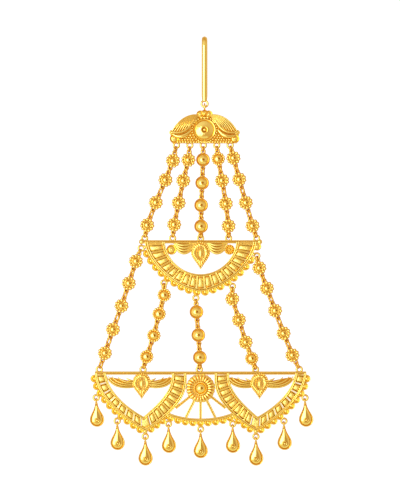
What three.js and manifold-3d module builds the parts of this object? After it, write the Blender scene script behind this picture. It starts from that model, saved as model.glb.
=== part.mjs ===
// Forehead pendant of cast and stamped gold, in millimetres.
//
// Everything below the seat is drawn as it is seen from the front: x to the right, y up and z
// towards the viewer. The group at the end turns that upright, so that +Z is up and the front
// faces -Y. The origin is the underside of the hook's bend, where the jewel hangs in the hair.

import * as THREE from 'three';
import { mergeVertices } from 'three/addons/utils/BufferGeometryUtils.js';
import { ConvexGeometry } from 'three/addons/geometries/ConvexGeometry.js';
import Module from 'manifold-3d';

const wasm = await Module();
wasm.setup();

// Hook
const rodRadius = 0.93;
const seatGap = 3.0;
const frontLeg = 18.9;
const rearLeg = 13.5;
const hookEyeRadius = 1.0;
const hookEyeWire = 0.34;
const bailRadius = 0.92;
const bailWire = 0.28;

// Small round eyes soldered to the plates, and the links that hang in them
const eyeRadius = 0.94;
const eyeWire = 0.27;
const linkRadius = 0.76;
const linkWire = 0.24;
const joinWidth = 1.2;
const joinDepth = 0.55;
const joinBite = 0.15;
const solderBite = 0.3;
const solderBall = 0.6;
const hookEndEase = 0.98;

// Heights: how far each plate hangs below the one above it
const crownDrop = 7.36;
const halfMoonDrop = 35.8;
const basePlateDrop = 42.0;
const plateShift = -1.28;
const rowShift = -0.42;

// Plates
const plateDepth = 1.0;
const barHeight = 1.0;
const barDepth = 1.4;
const ridgeRadius = 0.28;
const baguetteRise = 0.6;
const baguetteInset = 0.21;
const eyeAboveBar = 1.15;

// Crown
const crownHalfWidth = 10.9;
const crownTop = 5.0;
const crownFoot = 4.32;
const crownTip = 0.6;
const lobeRadius = 1.75;
const discRadius = 3.1;
const discRim = 0.45;
const discHeight = 1.5;
const crownGranule = 0.75;
const ribWidth = 1.9;
const ribRise = 0.8;
const ribPlaces = [0.2, 0.48, 0.76];
const ribbonRadius = 0.5;
const borderGranule = 0.6;
const borderPitch = 2.3;
const finialLobe = 1.15;
const finialRise = 1.05;
const finialNeck = 1.5;
const crownEyePitch = 4.3;
const crownEyeDrop = 0.6;

// Half-moon plate
const moonHalfWidth = 17.9;
const moonDepth = 15.8;
const moonFullness = 1.6;
const moonOpening = 11.5;
const moonOpeningRise = 1.1;
const moonCells = 17;
const moonScallops = 17;
const moonEyePitch = moonHalfWidth / 2;
const barOverhang = 1.0;
const endKnob = 0.85;
const swagDrop = 3.6;
const knotRadius = 1.7;
const knotShift = 0.3;
const endLobe = 1.35;

// Leaf motif
const leafHalfWidth = 2.8;
const leafRaise = 0.15;
const moonLeafLength = 8.8;
const baseLeafLength = 8.2;

// Base plate
const baseHalfWidth = 33.8;
const frameInnerCorner = 4.6;
const armWidth = 3.45;
const innerArmWidth = 4.6;
const tipAcross = 17.7;
const tipDrop = 18.5;
const innerTipDrop = 14.0;
const innerTipShift = 0.5;
const outerCells = 7;
const innerCells = 8;
const outerScallops = 10;
const innerScallops = 4;
const baseEyeInset = 1.8;
const baseEyeInner = 18.0;
const leafShift = 1.15;
const wingOut = 10.9;
const wingIn = 11.6;
const wingRoot = 1.5;
const wingTop = 2.9;
const wingDepth = 2.1;
const sunRadius = 4.67;
const sunDrop = 4.86;
const sunHeight = 1.3;
const rayWidth = 0.75;
const rayAngles = [-51.5, -26.8, 0, 26.8, 51.5];
const arcHalfWidth = 10.5;
const arcDrop = 15.2;
const arcRise = 2.6;
const arcWidth = 0.9;
const arcScallops = 9;
const scallopHeight = 1.75;
const dropStand = 2.47;

// Beads and drops
const beadRadius = 2.15;
const domeRadius = 2.2;
const beadDepth = 1.0;
const dropRadius = 2.3;
const dropLength = 7.5;
const dropNeck = 0.42;
const dropDepth = 1.3;
const dropGranule = 0.6;
const dropSwell = 1.3;

// Facets
const linkSteps = 10;
const wireSides = 5;
const eyeSides = 4;
const beadSides = 10;
const rodSides = 10;
const bendSteps = 8;
const scallopSteps = 4;
const mergeTolerance = 1e-5;

// Places of the eyes under the half-moon, as shares of the way round its hem from the left end,
// and how far each stands off the hem
const hemEyes = [
  { share: 0.033, stand: 1.45 },
  { share: 0.276, stand: 2.36 },
  { share: 0.4775, stand: 2.36 },
  { share: 0.69, stand: 2.3 },
  { share: 0.92, stand: 1.45 },
];

// Routes of the strings of beads, chosen by eye: for each bead its share of the way from the
// upper eye to the lower one, and how far it lies to the right of that line as a share of it
const upperRoutes = [
  [[0.16, 0.018], [0.37, 0.009], [0.62, -0.01], [0.865, -0.018]],
  [[0.155, 0.013], [0.38, 0.0], [0.62, -0.005], [0.855, -0.01]],
  [[0.155, 0.002], [0.405, 0.0], [0.645, -0.004], [0.872, 0.002]],
  [[0.145, -0.002], [0.38, 0.009], [0.63, 0.018], [0.87, 0.016]],
  [[0.135, -0.003], [0.365, -0.006], [0.615, -0.007], [0.865, -0.005]],
];
const lowerRoutes = [
  [[0.11, -0.006], [0.29, -0.002], [0.475, 0.002], [0.67, -0.001], [0.865, 0.0]],
  [[0.13, 0.035], [0.35, 0.029], [0.6, 0.028], [0.85, 0.006]],
  [[0.195, 0.0], [0.52, 0.01], [0.833, 0.016]],
  [[0.14, -0.04], [0.395, -0.031], [0.665, -0.025], [0.865, -0.008]],
  [[0.1, -0.016], [0.28, -0.016], [0.475, -0.017], [0.675, -0.017], [0.87, -0.012]],
];
const domedStrings = [2];

// How far each drop leans to the right as it hangs, in degrees
const dropLeans = [2.6, 1.2, 1.0, 1.4, 0.4, 1.0, 1.0, 2.4, 3.6];

// Gold of each family of pieces
const polished = { color: 0xffbe4a, roughness: 0.16, metalness: 1 };
const cast = { color: 0xf2a93a, roughness: 0.3, metalness: 1 };
const stamped = { color: 0xf7b445, roughness: 0.22, metalness: 1 };

// A closed geometry as a solid, whichever way its faces were wound
function solid(geometry) {
  const bare = geometry.clone();
  bare.deleteAttribute('normal');
  bare.deleteAttribute('uv');
  const merged = mergeVertices(bare, mergeTolerance);
  const vertProperties = new Float32Array(merged.attributes.position.array);
  const triVerts = new Uint32Array(merged.index.array);
  const made = new wasm.Manifold(new wasm.Mesh({ numProp: 3, vertProperties, triVerts }));
  if (made.volume() > 0) {
    return made;
  }
  triVerts.reverse();
  return new wasm.Manifold(new wasm.Mesh({ numProp: 3, vertProperties, triVerts }));
}

function join(pieces) {
  return pieces.map(solid).reduce((whole, piece) => whole.add(piece));
}

function toMesh(name, made, finish, x = 0, y = 0) {
  const { vertProperties, triVerts } = made.getMesh();
  const geometry = new THREE.BufferGeometry();
  geometry.setAttribute('position', new THREE.BufferAttribute(vertProperties, 3));
  geometry.setIndex(new THREE.BufferAttribute(triVerts, 1));
  geometry.computeVertexNormals();
  const mesh = new THREE.Mesh(geometry, new THREE.MeshStandardMaterial(finish));
  mesh.name = name;
  mesh.position.set(x, y, bendRadius);
  return mesh;
}

const bendRadius = seatGap / 2 + rodRadius;
const bendCentre = rodRadius - bendRadius;
const hingeHeight = -frontLeg - 2 * hookEyeRadius;
const crownHeight = hingeHeight - crownDrop;
const halfMoonHeight = crownHeight - halfMoonDrop;
const basePlateHeight = halfMoonHeight - basePlateDrop;
const plateFront = plateDepth / 2;
const eyeOuter = eyeRadius + eyeWire;

// A sweep through given stations, so that the steps lie close only where the line bends
class Line extends THREE.Curve {
  constructor(stations) {
    super();
    this.stations = stations;
  }

  getUtoTmapping(u) {
    return u;
  }

  getPoint(t, target = new THREE.Vector3()) {
    const last = this.stations.length - 1;
    const at = Math.min(Math.max(t, 0), 1) * last;
    const index = Math.min(Math.floor(at), last - 1);
    return target.lerpVectors(this.stations[index], this.stations[index + 1], at - index);
  }
}

function polygon(radius, sides, turn = 0) {
  const corners = [];
  for (let i = 0; i < sides; i += 1) {
    const angle = turn + (2 * Math.PI * i) / sides;
    corners.push(new THREE.Vector2(radius * Math.cos(angle), radius * Math.sin(angle)));
  }
  return new THREE.Shape(corners);
}

function wire(points, radius, sides, turn = 0) {
  const stations = points.map(([x, y, z]) => new THREE.Vector3(x, y, z));
  return new THREE.ExtrudeGeometry(polygon(radius, sides, turn), {
    steps: points.length - 1,
    extrudePath: new Line(stations),
    bevelEnabled: false,
  });
}

function ringFacing(radius, gauge, x, y) {
  return new THREE.TorusGeometry(radius, gauge, eyeSides, linkSteps).translate(x, y, 0);
}

// A ring seen edge-on, in the plane of the z axis and the direction given
function ringAlong(radius, gauge, x, y, direction) {
  const ring = new THREE.TorusGeometry(radius, gauge, wireSides, linkSteps);
  ring.rotateX(Math.PI / 2);
  ring.rotateZ(Math.atan2(direction.y, direction.x));
  return ring.translate(x, y, 0);
}

function slab(points, back, front, holes = []) {
  const shape = new THREE.Shape(points.map(([x, y]) => new THREE.Vector2(x, y)));
  for (const hole of holes) {
    shape.holes.push(new THREE.Path(hole.map(([x, y]) => new THREE.Vector2(x, y))));
  }
  const geometry = new THREE.ExtrudeGeometry(shape, { depth: front - back, bevelEnabled: false });
  return geometry.translate(0, 0, back);
}

// A raised stone-like block on a four-cornered foot, narrower at the top
function baguette(corners, back, front, inset) {
  const cx = corners.reduce((sum, corner) => sum + corner[0], 0) / corners.length;
  const cy = corners.reduce((sum, corner) => sum + corner[1], 0) / corners.length;
  const points = corners.flatMap(([x, y]) => {
    const reach = Math.hypot(x - cx, y - cy);
    const share = (reach - inset) / reach;
    return [
      new THREE.Vector3(x, y, back),
      new THREE.Vector3(cx + (x - cx) * share, cy + (y - cy) * share, front),
    ];
  });
  return new ConvexGeometry(points);
}

// A rib that is pointed at both ends and highest along its middle
function rib(from, to, width, rise) {
  const along = new THREE.Vector2(to[0] - from[0], to[1] - from[1]);
  const side = new THREE.Vector2(-along.y, along.x).normalize().multiplyScalar(width / 2);
  const at = (share, offset, height) => new THREE.Vector3(
    from[0] + along.x * share + side.x * offset,
    from[1] + along.y * share + side.y * offset,
    height,
  );
  const sunk = plateFront - solderBite;
  const points = [at(0, 0, sunk), at(1, 0, sunk), at(0.12, 0, plateFront + rise * 0.6)];
  points.push(at(0.3, -1, sunk), at(0.3, 1, sunk), at(0.75, -1, sunk), at(0.75, 1, sunk));
  points.push(at(0.6, 0, plateFront + rise), at(0.92, 0, plateFront + rise * 0.5));
  return new ConvexGeometry(points);
}

function granule(radius, x, y, z) {
  return new THREE.IcosahedronGeometry(radius, 0).translate(x, y, z);
}

function turned(profile, sides, x, y) {
  const points = profile.map(([radius, height]) => new THREE.Vector2(radius, height));
  return new THREE.LatheGeometry(points, sides).rotateX(Math.PI / 2).translate(x, y, 0);
}

// Points on a line given by a function of its share, from one share to another
function sampled(line, from, to, count) {
  const points = [];
  for (let i = 0; i <= count; i += 1) {
    points.push(line(from + ((to - from) * i) / count));
  }
  return points;
}

// The same stretch with half-round scallops standing off its left-hand side
function scalloped(line, from, to, count, height) {
  const points = [];
  for (let i = 0; i < count; i += 1) {
    const start = line(from + ((to - from) * i) / count);
    const end = line(from + ((to - from) * (i + 1)) / count);
    const across = [end[0] - start[0], end[1] - start[1]];
    const span = Math.hypot(across[0], across[1]);
    const out = [across[1] / span, -across[0] / span];
    for (let k = 0; k < scallopSteps; k += 1) {
      const angle = (Math.PI * k) / scallopSteps;
      const share = (1 - Math.cos(angle)) / 2;
      const lift = height * Math.sin(angle);
      points.push([
        start[0] + across[0] * share + out[0] * lift,
        start[1] + across[1] * share + out[1] * lift,
      ]);
    }
  }
  points.push(line(to));
  return points;
}

// A line as a function of the share of its length
function byLength(curve) {
  return (share) => curve.getPointAt(Math.min(Math.max(share, 0), 1)).toArray();
}

function bezier(...corners) {
  return byLength(new THREE.CubicBezierCurve(...corners.map(([x, y]) => new THREE.Vector2(x, y))));
}

// Where an eye sits that stands off a line to its right-hand side as the line runs
function standOff(line, share, distance) {
  const before = line(share - 0.01);
  const after = line(share + 0.01);
  const length = Math.hypot(after[0] - before[0], after[1] - before[1]);
  const [x, y] = line(share);
  return [
    x + ((after[1] - before[1]) / length) * distance,
    y - ((after[0] - before[0]) / length) * distance,
  ];
}

function atHeight(points, z) {
  return points.map(([x, y]) => [x, y, z]);
}

function ridge(points) {
  return wire(atHeight(points, plateFront), ridgeRadius * Math.SQRT2, 4, Math.PI / 4);
}

// A line between two others, at a share of the way from the first to the second
function between(outer, inner, share) {
  return (along) => partWay(outer(along), inner(along), share);
}

function mirrored(points) {
  return points.map(([x, y]) => [-x, y]);
}

// Hook: a straight front leg, a bend over the seat and a plain rear leg with a rounded end
function makeHook() {
  const points = [[0, -frontLeg, 0]];
  for (let i = 0; i <= bendSteps; i += 1) {
    const angle = (Math.PI * i) / bendSteps;
    points.push([0, bendCentre + bendRadius * Math.sin(angle), bendRadius * (Math.cos(angle) - 1)]);
  }
  points.push([0, -rearLeg, -2 * bendRadius]);
  const rod = wire(points, rodRadius, rodSides);
  const end = new THREE.SphereGeometry(rodRadius * hookEndEase, 8, 4);
  end.translate(0, -rearLeg, -2 * bendRadius);
  const eye = ringFacing(hookEyeRadius, hookEyeWire, 0, hingeHeight + hookEyeRadius);
  return toMesh('hair_hook', join([rod, end, eye]), polished);
}

// Crown: a winged plate with a three-lobed finial, a dished boss and ribbons
const crownShoulder = bezier(
  [finialLobe * 2, crownTop],
  [crownHalfWidth * 0.64, crownTop * 1.02],
  [crownHalfWidth * 0.75, crownTop * 0.3],
  [crownHalfWidth, -crownTip],
);
const crownEyes = [-2, -1, 0, 1, 2].map((place) => [
  rowShift + place * crownEyePitch,
  -crownFoot - crownEyeDrop,
]);

function crownOutline() {
  const right = [
    [crownHalfWidth - lobeRadius * 0.3, -crownFoot],
    [crownHalfWidth, -crownFoot + lobeRadius],
    ...sampled(crownShoulder, 1, 0, 8),
  ];
  return [...right, ...mirrored(right).reverse()];
}

// Shallow dish with a raised rim, in the middle of the crown
function crownDish() {
  const wide = discRadius + discRim;
  return turned([
    [0, 0],
    [wide, 0],
    [wide, discHeight * 0.75],
    [discRadius, discHeight],
    [discRadius * 0.8, discHeight],
    [discRadius * 0.2, discHeight * 0.55],
    [0, discHeight * 0.55],
  ], 14, 0, 0);
}

// A round button with a domed face, from its back to the height of its edge and of its middle
function button(radius, back, edge, top, sides, x, y) {
  return turned([[0, back], [radius, back], [radius, edge], [0, top]], sides, x, y);
}

// Smooth ribbon from the dish's flank to the wing's tip; the second lies below the first
function crownRibbon(side, low) {
  const reach = crownHalfWidth - discRadius;
  const line = bezier(
    [discRadius + reach * 0.03, crownFoot * (-0.14 - 0.3 * low)],
    [discRadius + reach * 0.44, crownFoot * (0.35 - 0.37 * low)],
    [discRadius + reach * 0.56, crownFoot * (-0.6 - 0.14 * low)],
    [discRadius + reach * (0.95 - 0.06 * low), crownFoot * (-0.28 - 0.26 * low)],
  );
  const points = sampled(line, 0, 1, 4).map(([x, y]) => [side * x, y]);
  return wire(atHeight(points, plateFront), ribbonRadius, 4);
}

function crownWing(side) {
  const pieces = [crownRibbon(side, 0), crownRibbon(side, 1)];
  const lobeAcross = side * (crownHalfWidth - lobeRadius * 0.75);
  pieces.push(button(lobeRadius, -plateFront, plateFront, 1.1, 12, lobeAcross, -crownFoot + lobeRadius));
  for (const share of ribPlaces) {
    const [x, y] = crownShoulder(share);
    const root = [side * (discRadius + share), crownFoot * (0.44 - 0.56 * share)];
    pieces.push(rib(root, [side * x, y], ribWidth, ribRise));
  }
  pieces.push(button(finialLobe, -0.4, 0.5, 0.9, 10, side * finialLobe * 1.1, crownTop));
  for (let i = 0; i < 3; i += 1) {
    const across = side * (discRadius / 2 + i * borderPitch);
    pieces.push(granule(borderGranule, across, borderGranule - crownFoot, plateFront));
  }
  return pieces;
}

function makeCrown() {
  const topLobe = crownDrop - bailRadius - bailWire - finialLobe * 0.72;
  const pieces = [slab(crownOutline(), -plateFront, plateFront), crownDish()];
  pieces.push(new THREE.SphereGeometry(crownGranule, 8, 4).translate(0, 0, discHeight));
  pieces.push(...crownWing(-1), ...crownWing(1));
  pieces.push(button(finialLobe, -0.35, 0.5, 0.85, 10, 0, topLobe));
  pieces.push(button(finialNeck, -0.3, 0.7, 0.7, 6, 0, crownTop));
  pieces.push(granule(borderGranule, 0, crownTop - finialRise, plateFront + 0.2));
  pieces.push(ringAlong(bailRadius, bailWire, 0, crownDrop, new THREE.Vector2(0, 1)));
  for (const [x, y] of crownEyes) {
    pieces.push(ringFacing(eyeRadius, eyeWire, x, y));
  }
  return toMesh('crown', join(pieces), cast, 0, crownHeight);
}

// Leaf: pointed below, round above, with a long stone set in it
function leafOutline(length, halfWidth) {
  const widest = [halfWidth, -length * 0.3];
  const flank = bezier(
    [0, -length],
    [halfWidth * 0.5, -length * 0.7],
    [halfWidth * 1.35, -length * 0.5],
    widest,
  );
  const head = bezier(
    widest,
    [halfWidth * 0.9, -length * 0.08],
    [halfWidth * 0.4, 0],
    [0, 0],
  );
  const half = [...sampled(flank, 0, 1, 5), ...sampled(head, 0, 1, 3).slice(1)];
  return [...half, ...mirrored(half.slice(1, -1)).reverse()];
}

function leaf(length, x) {
  const outline = leafOutline(length, leafHalfWidth).map(([px, py]) => [px + x, py]);
  const stone = [[0, -0.66], [0.26, -0.45], [0, -0.2], [-0.26, -0.45]];
  const corners = stone.map(([px, py]) => [x + px * leafHalfWidth, py * length]);
  return [
    slab(outline, -plateFront * 0.8, plateFront + leafRaise),
    baguette(corners, 0, plateFront + baguetteRise, baguetteInset),
  ];
}

function partWay(from, to, share) {
  return [from[0] + (to[0] - from[0]) * share, from[1] + (to[1] - from[1]) * share];
}

// The four corners of a patch between two lines, drawn in from both of them by a margin
function blockBetween(outer, inner, start, end, margin) {
  return [
    partWay(outer(start), inner(start), margin),
    partWay(outer(end), inner(end), margin),
    partWay(outer(end), inner(end), 1 - margin),
    partWay(outer(start), inner(start), 1 - margin),
  ];
}

// Cells between two lines: a raised block in each, and a narrow cut between neighbours
function cells(outer, inner, from, to, count, margin) {
  const blocks = [];
  const cuts = [];
  const pitch = (to - from) / count;
  for (let i = 0; i < count; i += 1) {
    const start = from + pitch * i;
    blocks.push(blockBetween(outer, inner, start + pitch * 0.16, start + pitch * 0.84, margin));
    if (i > 0) {
      cuts.push(blockBetween(outer, inner, start - pitch * 0.09, start + pitch * 0.09, margin + 0.04));
    }
  }
  return { blocks, cuts };
}

function bar(halfWidth) {
  return new THREE.BoxGeometry(2 * halfWidth, barHeight, barDepth);
}

// Half-moon: the outer line is a curve between an ellipse and a straight V
function moonPoint(share) {
  const angle = Math.PI * share;
  const power = 2 / moonFullness;
  const across = Math.cos(angle);
  return new THREE.Vector2(
    -moonHalfWidth * Math.sign(across) * Math.abs(across) ** power,
    -moonDepth * Math.abs(Math.sin(angle)) ** power,
  );
}
const moonLine = byLength(new THREE.SplineCurve(sampled(moonPoint, 0, 1, 60)));

function moonInner(share) {
  const reach = Math.asin(moonOpeningRise / moonOpening);
  const angle = reach + (Math.PI - 2 * reach) * share;
  return [-moonOpening * Math.cos(angle), moonOpeningRise - moonOpening * Math.sin(angle)];
}

const moonTopEyes = [-2, -1, 0, 1, 2].map((place) => [place * moonEyePitch, eyeAboveBar]);
const moonHemEyes = hemEyes.map(({ share, stand }) => standOff(moonLine, share, stand));

// A swag beside the leaf, with the round knot that it hangs from
function moonSwag(side) {
  const end = moonEyePitch - 0.55;
  const hanging = bezier(
    [leafHalfWidth * 0.64, 0],
    [end * 0.43, -swagDrop * 1.25],
    [end * 0.79, -swagDrop * 1.25],
    [end, -0.9],
  );
  const outline = [...sampled(hanging, 0, 1, 7), [end, 0]].map(([x, y]) => [side * x, y]);
  const across = side * (moonEyePitch + knotShift);
  return [
    slab(outline, -plateFront * 0.7, plateFront * 0.9),
    button(knotRadius, -0.45, 0.55, 0.95, 10, across, -barHeight / 2 - knotRadius * 1.1),
  ];
}

function makeHalfMoon() {
  const { blocks, cuts } = cells(moonLine, moonInner, 0.02, 0.98, moonCells, 0.17);
  const hem = [
    moonLine(0),
    ...scalloped(moonLine, 0.05, 0.905, moonScallops, scallopHeight),
    moonLine(0.96),
    moonLine(1),
  ];
  const outline = [...hem, ...sampled(moonInner, 1, 0, 16)];
  const pieces = [slab(outline, -plateFront, plateFront, cuts)];
  for (const corners of blocks) {
    pieces.push(baguette(corners, 0, plateFront + baguetteRise, baguetteInset));
  }
  pieces.push(bar(moonHalfWidth + barOverhang));
  pieces.push(ridge(sampled(between(moonLine, moonInner, 0.08), 0.02, 0.98, 14)));
  pieces.push(ridge(sampled(between(moonLine, moonInner, 0.92), 0.02, 0.98, 10)));
  pieces.push(...leaf(moonLeafLength, 0), ...moonSwag(-1), ...moonSwag(1));
  for (const [x, y] of [...moonTopEyes, ...moonHemEyes]) {
    pieces.push(ringFacing(eyeRadius, eyeWire, x, y));
  }
  for (const side of [-1, 1]) {
    pieces.push(granule(endKnob, side * (moonHalfWidth + barOverhang), 0, 0));
  }
  pieces.push(button(endLobe, -0.4, 0.5, 0.9, 8, moonHalfWidth + 0.2, -endLobe * 1.1));
  for (const end of [0, 4]) {
    const [x, y] = standOff(moonLine, hemEyes[end].share, solderBall * 0.5);
    pieces.push(granule(solderBall, x, y, 0));
  }
  return toMesh('half_moon', join(pieces), cast, plateShift, halfMoonHeight);
}

// Base plate: two V frames hanging from one bar, with a sun and its rays between them
const armInside = baseHalfWidth - armWidth;
const innerArmInside = frameInnerCorner + innerArmWidth;
const innerTipAcross = tipAcross + innerTipShift;
const leaning = (corner, tip, share) => -corner + (corner - tip) * share;
const outerLine = bezier(
  [-baseHalfWidth, 0],
  [leaning(baseHalfWidth, tipAcross, 0.019), -tipDrop * 0.314],
  [leaning(baseHalfWidth, tipAcross, 0.335), -tipDrop * 0.66],
  [-tipAcross, -tipDrop],
);
const outerInside = bezier(
  [-armInside, 0],
  [leaning(armInside, innerTipAcross, 0.058), -innerTipDrop * 0.364],
  [leaning(armInside, innerTipAcross, 0.428), -innerTipDrop * 0.729],
  [-innerTipAcross, -innerTipDrop],
);
const innerLine = bezier(
  [-tipAcross, -tipDrop],
  [leaning(frameInnerCorner, tipAcross, 0.229), -tipDrop * 0.66],
  [leaning(frameInnerCorner, tipAcross, -0.076), -tipDrop * 0.378],
  [-frameInnerCorner, 0],
);
const innerInside = bezier(
  [-innerTipAcross, -innerTipDrop],
  [leaning(innerArmInside, innerTipAcross, 0.356), -innerTipDrop * 0.643],
  [leaning(innerArmInside, innerTipAcross, -0.056), -innerTipDrop * 0.343],
  [-innerArmInside, 0],
);
const baseEyeOuter = baseHalfWidth - baseEyeInset;
const baseTopEyes = [-baseEyeOuter, -baseEyeInner, 0, baseEyeInner, baseEyeOuter].map((x) => [
  x + rowShift,
  eyeAboveBar,
]);
const arcLine = bezier(
  [-arcHalfWidth, -arcDrop + arcRise],
  [-arcHalfWidth * 0.45, -arcDrop - 0.05],
  [arcHalfWidth * 0.45, -arcDrop - 0.05],
  [arcHalfWidth, -arcDrop + arcRise],
);
const arcHem = (share) => [arcLine(share)[0], arcLine(share)[1] - arcWidth];
const outerHem = [0.02, 0.985];
const innerHem = [0.03, 0.405];
const middleOf = (index, count, [from, to]) => from + ((to - from) * (index + 0.5)) / count;
const leftDropEyes = [
  standOff(outerLine, middleOf(2.2, outerScallops, outerHem), dropStand - solderBite / 2),
  standOff(outerLine, middleOf(6, outerScallops, outerHem), dropStand),
  [-tipAcross, -tipDrop - eyeOuter - solderBall],
  standOff(arcHem, middleOf(0, arcScallops, [0, 1]), dropStand),
];
const dropEyes = [
  ...leftDropEyes,
  standOff(arcHem, 0.5, dropStand),
  ...mirrored(leftDropEyes).reverse(),
];

function vFrame(side) {
  const place = (points) => (side < 0 ? points : mirrored(points).reverse());
  const outerCellsMade = cells(outerLine, outerInside, 0.02, 0.95, outerCells, 0.24);
  const innerCellsMade = cells(innerLine, innerInside, 0.1, 0.97, innerCells, 0.22);
  const outline = [
    ...scalloped(outerLine, ...outerHem, outerScallops, scallopHeight),
    ...scalloped(innerLine, ...innerHem, innerScallops, scallopHeight).slice(0, -1),
    ...sampled(innerLine, innerHem[1], 1, 5),
    ...sampled(innerInside, 1, 0, 7),
    ...sampled(outerInside, 1, 0, 8).slice(1),
  ];
  const cuts = [...outerCellsMade.cuts, ...innerCellsMade.cuts].map(place);
  const pieces = [slab(place(outline), -plateFront, plateFront, cuts)];
  for (const corners of [...outerCellsMade.blocks, ...innerCellsMade.blocks]) {
    pieces.push(baguette(place(corners), 0, plateFront + baguetteRise, baguetteInset));
  }
  const outside = [between(outerLine, outerInside, 0.12), between(innerLine, innerInside, 0.1)];
  const inside = [between(outerLine, outerInside, 0.88), between(innerLine, innerInside, 0.9)];
  const outerRidge = [...sampled(outside[0], 0.02, 1, 5), ...sampled(outside[1], 0.06, 0.98, 5)];
  const innerRidge = [...sampled(inside[0], 0.02, 0.98, 4), ...sampled(inside[1], 0.06, 0.98, 4)];
  pieces.push(ridge(place(outerRidge)), ridge(place(innerRidge)));
  return pieces;
}

// A leaf under the bar with a wing on either side of it
function wingedLeaf(side) {
  const centre = side * (tipAcross + leafShift);
  const pieces = leaf(baseLeafLength, centre);
  for (const hand of [-1, 1]) {
    const far = hand * side > 0 ? wingIn : wingOut;
    const foot = wingTop + wingDepth;
    const upper = bezier(
      [wingRoot, -wingTop],
      [far * 0.39, -wingTop * 1.07],
      [far * 0.59, -wingTop * 0.41],
      [far, -wingTop * 0.1],
    );
    const lower = bezier(
      [far * 0.96, -wingTop * 1.14],
      [far * 0.71, -foot],
      [far * 0.42, -foot],
      [wingRoot, -foot],
    );
    const wing = [...sampled(upper, 0, 1, 4), ...sampled(lower, 0, 1, 3)];
    const placed = wing.map(([x, y]) => [centre + hand * x, y]);
    pieces.push(slab(placed, -plateFront * 0.7, plateFront * 0.9));
  }
  return pieces;
}

// Sun: a fluted dish with a ringed boss
function makeSun() {
  return turned([
    [0, -0.55],
    [sunRadius, -0.55],
    [sunRadius, plateFront],
    [sunRadius * 0.65, sunHeight],
    [sunRadius * 0.4, sunHeight * 0.7],
    [sunRadius * 0.3, sunHeight * 1.1],
    [0, sunHeight * 0.8],
  ], 16, 0, -sunDrop);
}

// Rays run from the sun to the arc, which rises towards its ends
function makeRay(angle) {
  const slant = Math.abs(angle) / Math.max(...rayAngles);
  const root = sunRadius * 0.8;
  const length = arcDrop - sunDrop + arcWidth * 0.4 - slant * 0.5 - root;
  const ray = new THREE.BoxGeometry(rayWidth, length, plateDepth * 0.7);
  ray.translate(0, -root - length / 2, 0).rotateZ(THREE.MathUtils.degToRad(angle));
  return ray.translate(0, -sunDrop, 0);
}

function makeBasePlate() {
  const arc = [...scalloped(arcHem, 0, 1, arcScallops, scallopHeight), ...sampled(arcLine, 1, 0, 8)];
  const pieces = [bar(baseHalfWidth), makeSun(), ...rayAngles.map(makeRay)];
  pieces.push(slab(arc, -plateFront * 0.9, plateFront * 0.8));
  for (const side of [-1, 1]) {
    pieces.push(granule(solderBall * 1.3, side * tipAcross, -tipDrop - solderBall * 0.25, 0));
    pieces.push(...vFrame(side), ...wingedLeaf(side));
  }
  for (const [x, y] of [...baseTopEyes, ...dropEyes]) {
    pieces.push(ringFacing(eyeRadius, eyeWire, x, y));
  }
  return toMesh('base_plate', join(pieces), cast, plateShift, basePlateHeight);
}

// A string of beads between two eyes: a link in each eye, and short joins between the beads
function makeString(name, from, to, route, domed) {
  const start = new THREE.Vector2(...from);
  const end = new THREE.Vector2(...to);
  const line = end.clone().sub(start);
  const right = new THREE.Vector2(-line.y, line.x);
  const beads = route.map(([share, aside]) => (
    start.clone().addScaledVector(line, share).addScaledVector(right, aside)
  ));
  const radius = domed ? domeRadius : beadRadius;
  const profile = domed
    ? [[0, -0.5], [radius * 0.95, -0.45], [radius, 0.48], [0, 0.0]]
    : [[0, -0.5], [radius * 0.95, -0.45], [radius, 0.38], [0, 0.7]];
  const scaled = profile.map(([across, height]) => [across, height * beadDepth]);
  const pieces = [];
  const stops = [start, ...beads, end];
  for (let i = 0; i + 1 < stops.length; i += 1) {
    const first = stops[i];
    const second = stops[i + 1];
    const step = second.clone().sub(first);
    const way = step.clone().normalize();
    let near = radius - joinBite;
    let far = step.length() - radius + joinBite;
    if (i === 0) {
      near = eyeRadius + linkRadius;
      const centre = first.clone().addScaledVector(way, eyeRadius);
      pieces.push(ringAlong(linkRadius, linkWire, centre.x, centre.y, way));
    }
    if (i + 2 === stops.length) {
      far = step.length() - eyeRadius - linkRadius;
      const centre = second.clone().addScaledVector(way, -eyeRadius);
      pieces.push(ringAlong(linkRadius, linkWire, centre.x, centre.y, way));
    }
    const middle = first.clone().addScaledVector(way, (near + far) / 2);
    const joint = new THREE.BoxGeometry(far - near, joinWidth, joinDepth);
    pieces.push(joint.rotateZ(way.angle()).translate(middle.x, middle.y, 0));
  }
  beads.forEach((bead, index) => {
    const before = stops[index];
    const after = stops[index + 2];
    const turn = Math.atan2(after.y - before.y, after.x - before.x) + Math.PI / beadSides;
    const disc = new THREE.LatheGeometry(
      scaled.map(([across, height]) => new THREE.Vector2(across, height)),
      beadSides,
    );
    pieces.push(disc.rotateX(Math.PI / 2).rotateZ(turn).translate(bead.x, bead.y, 0));
  });
  return toMesh(name, join(pieces), stamped);
}

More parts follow.
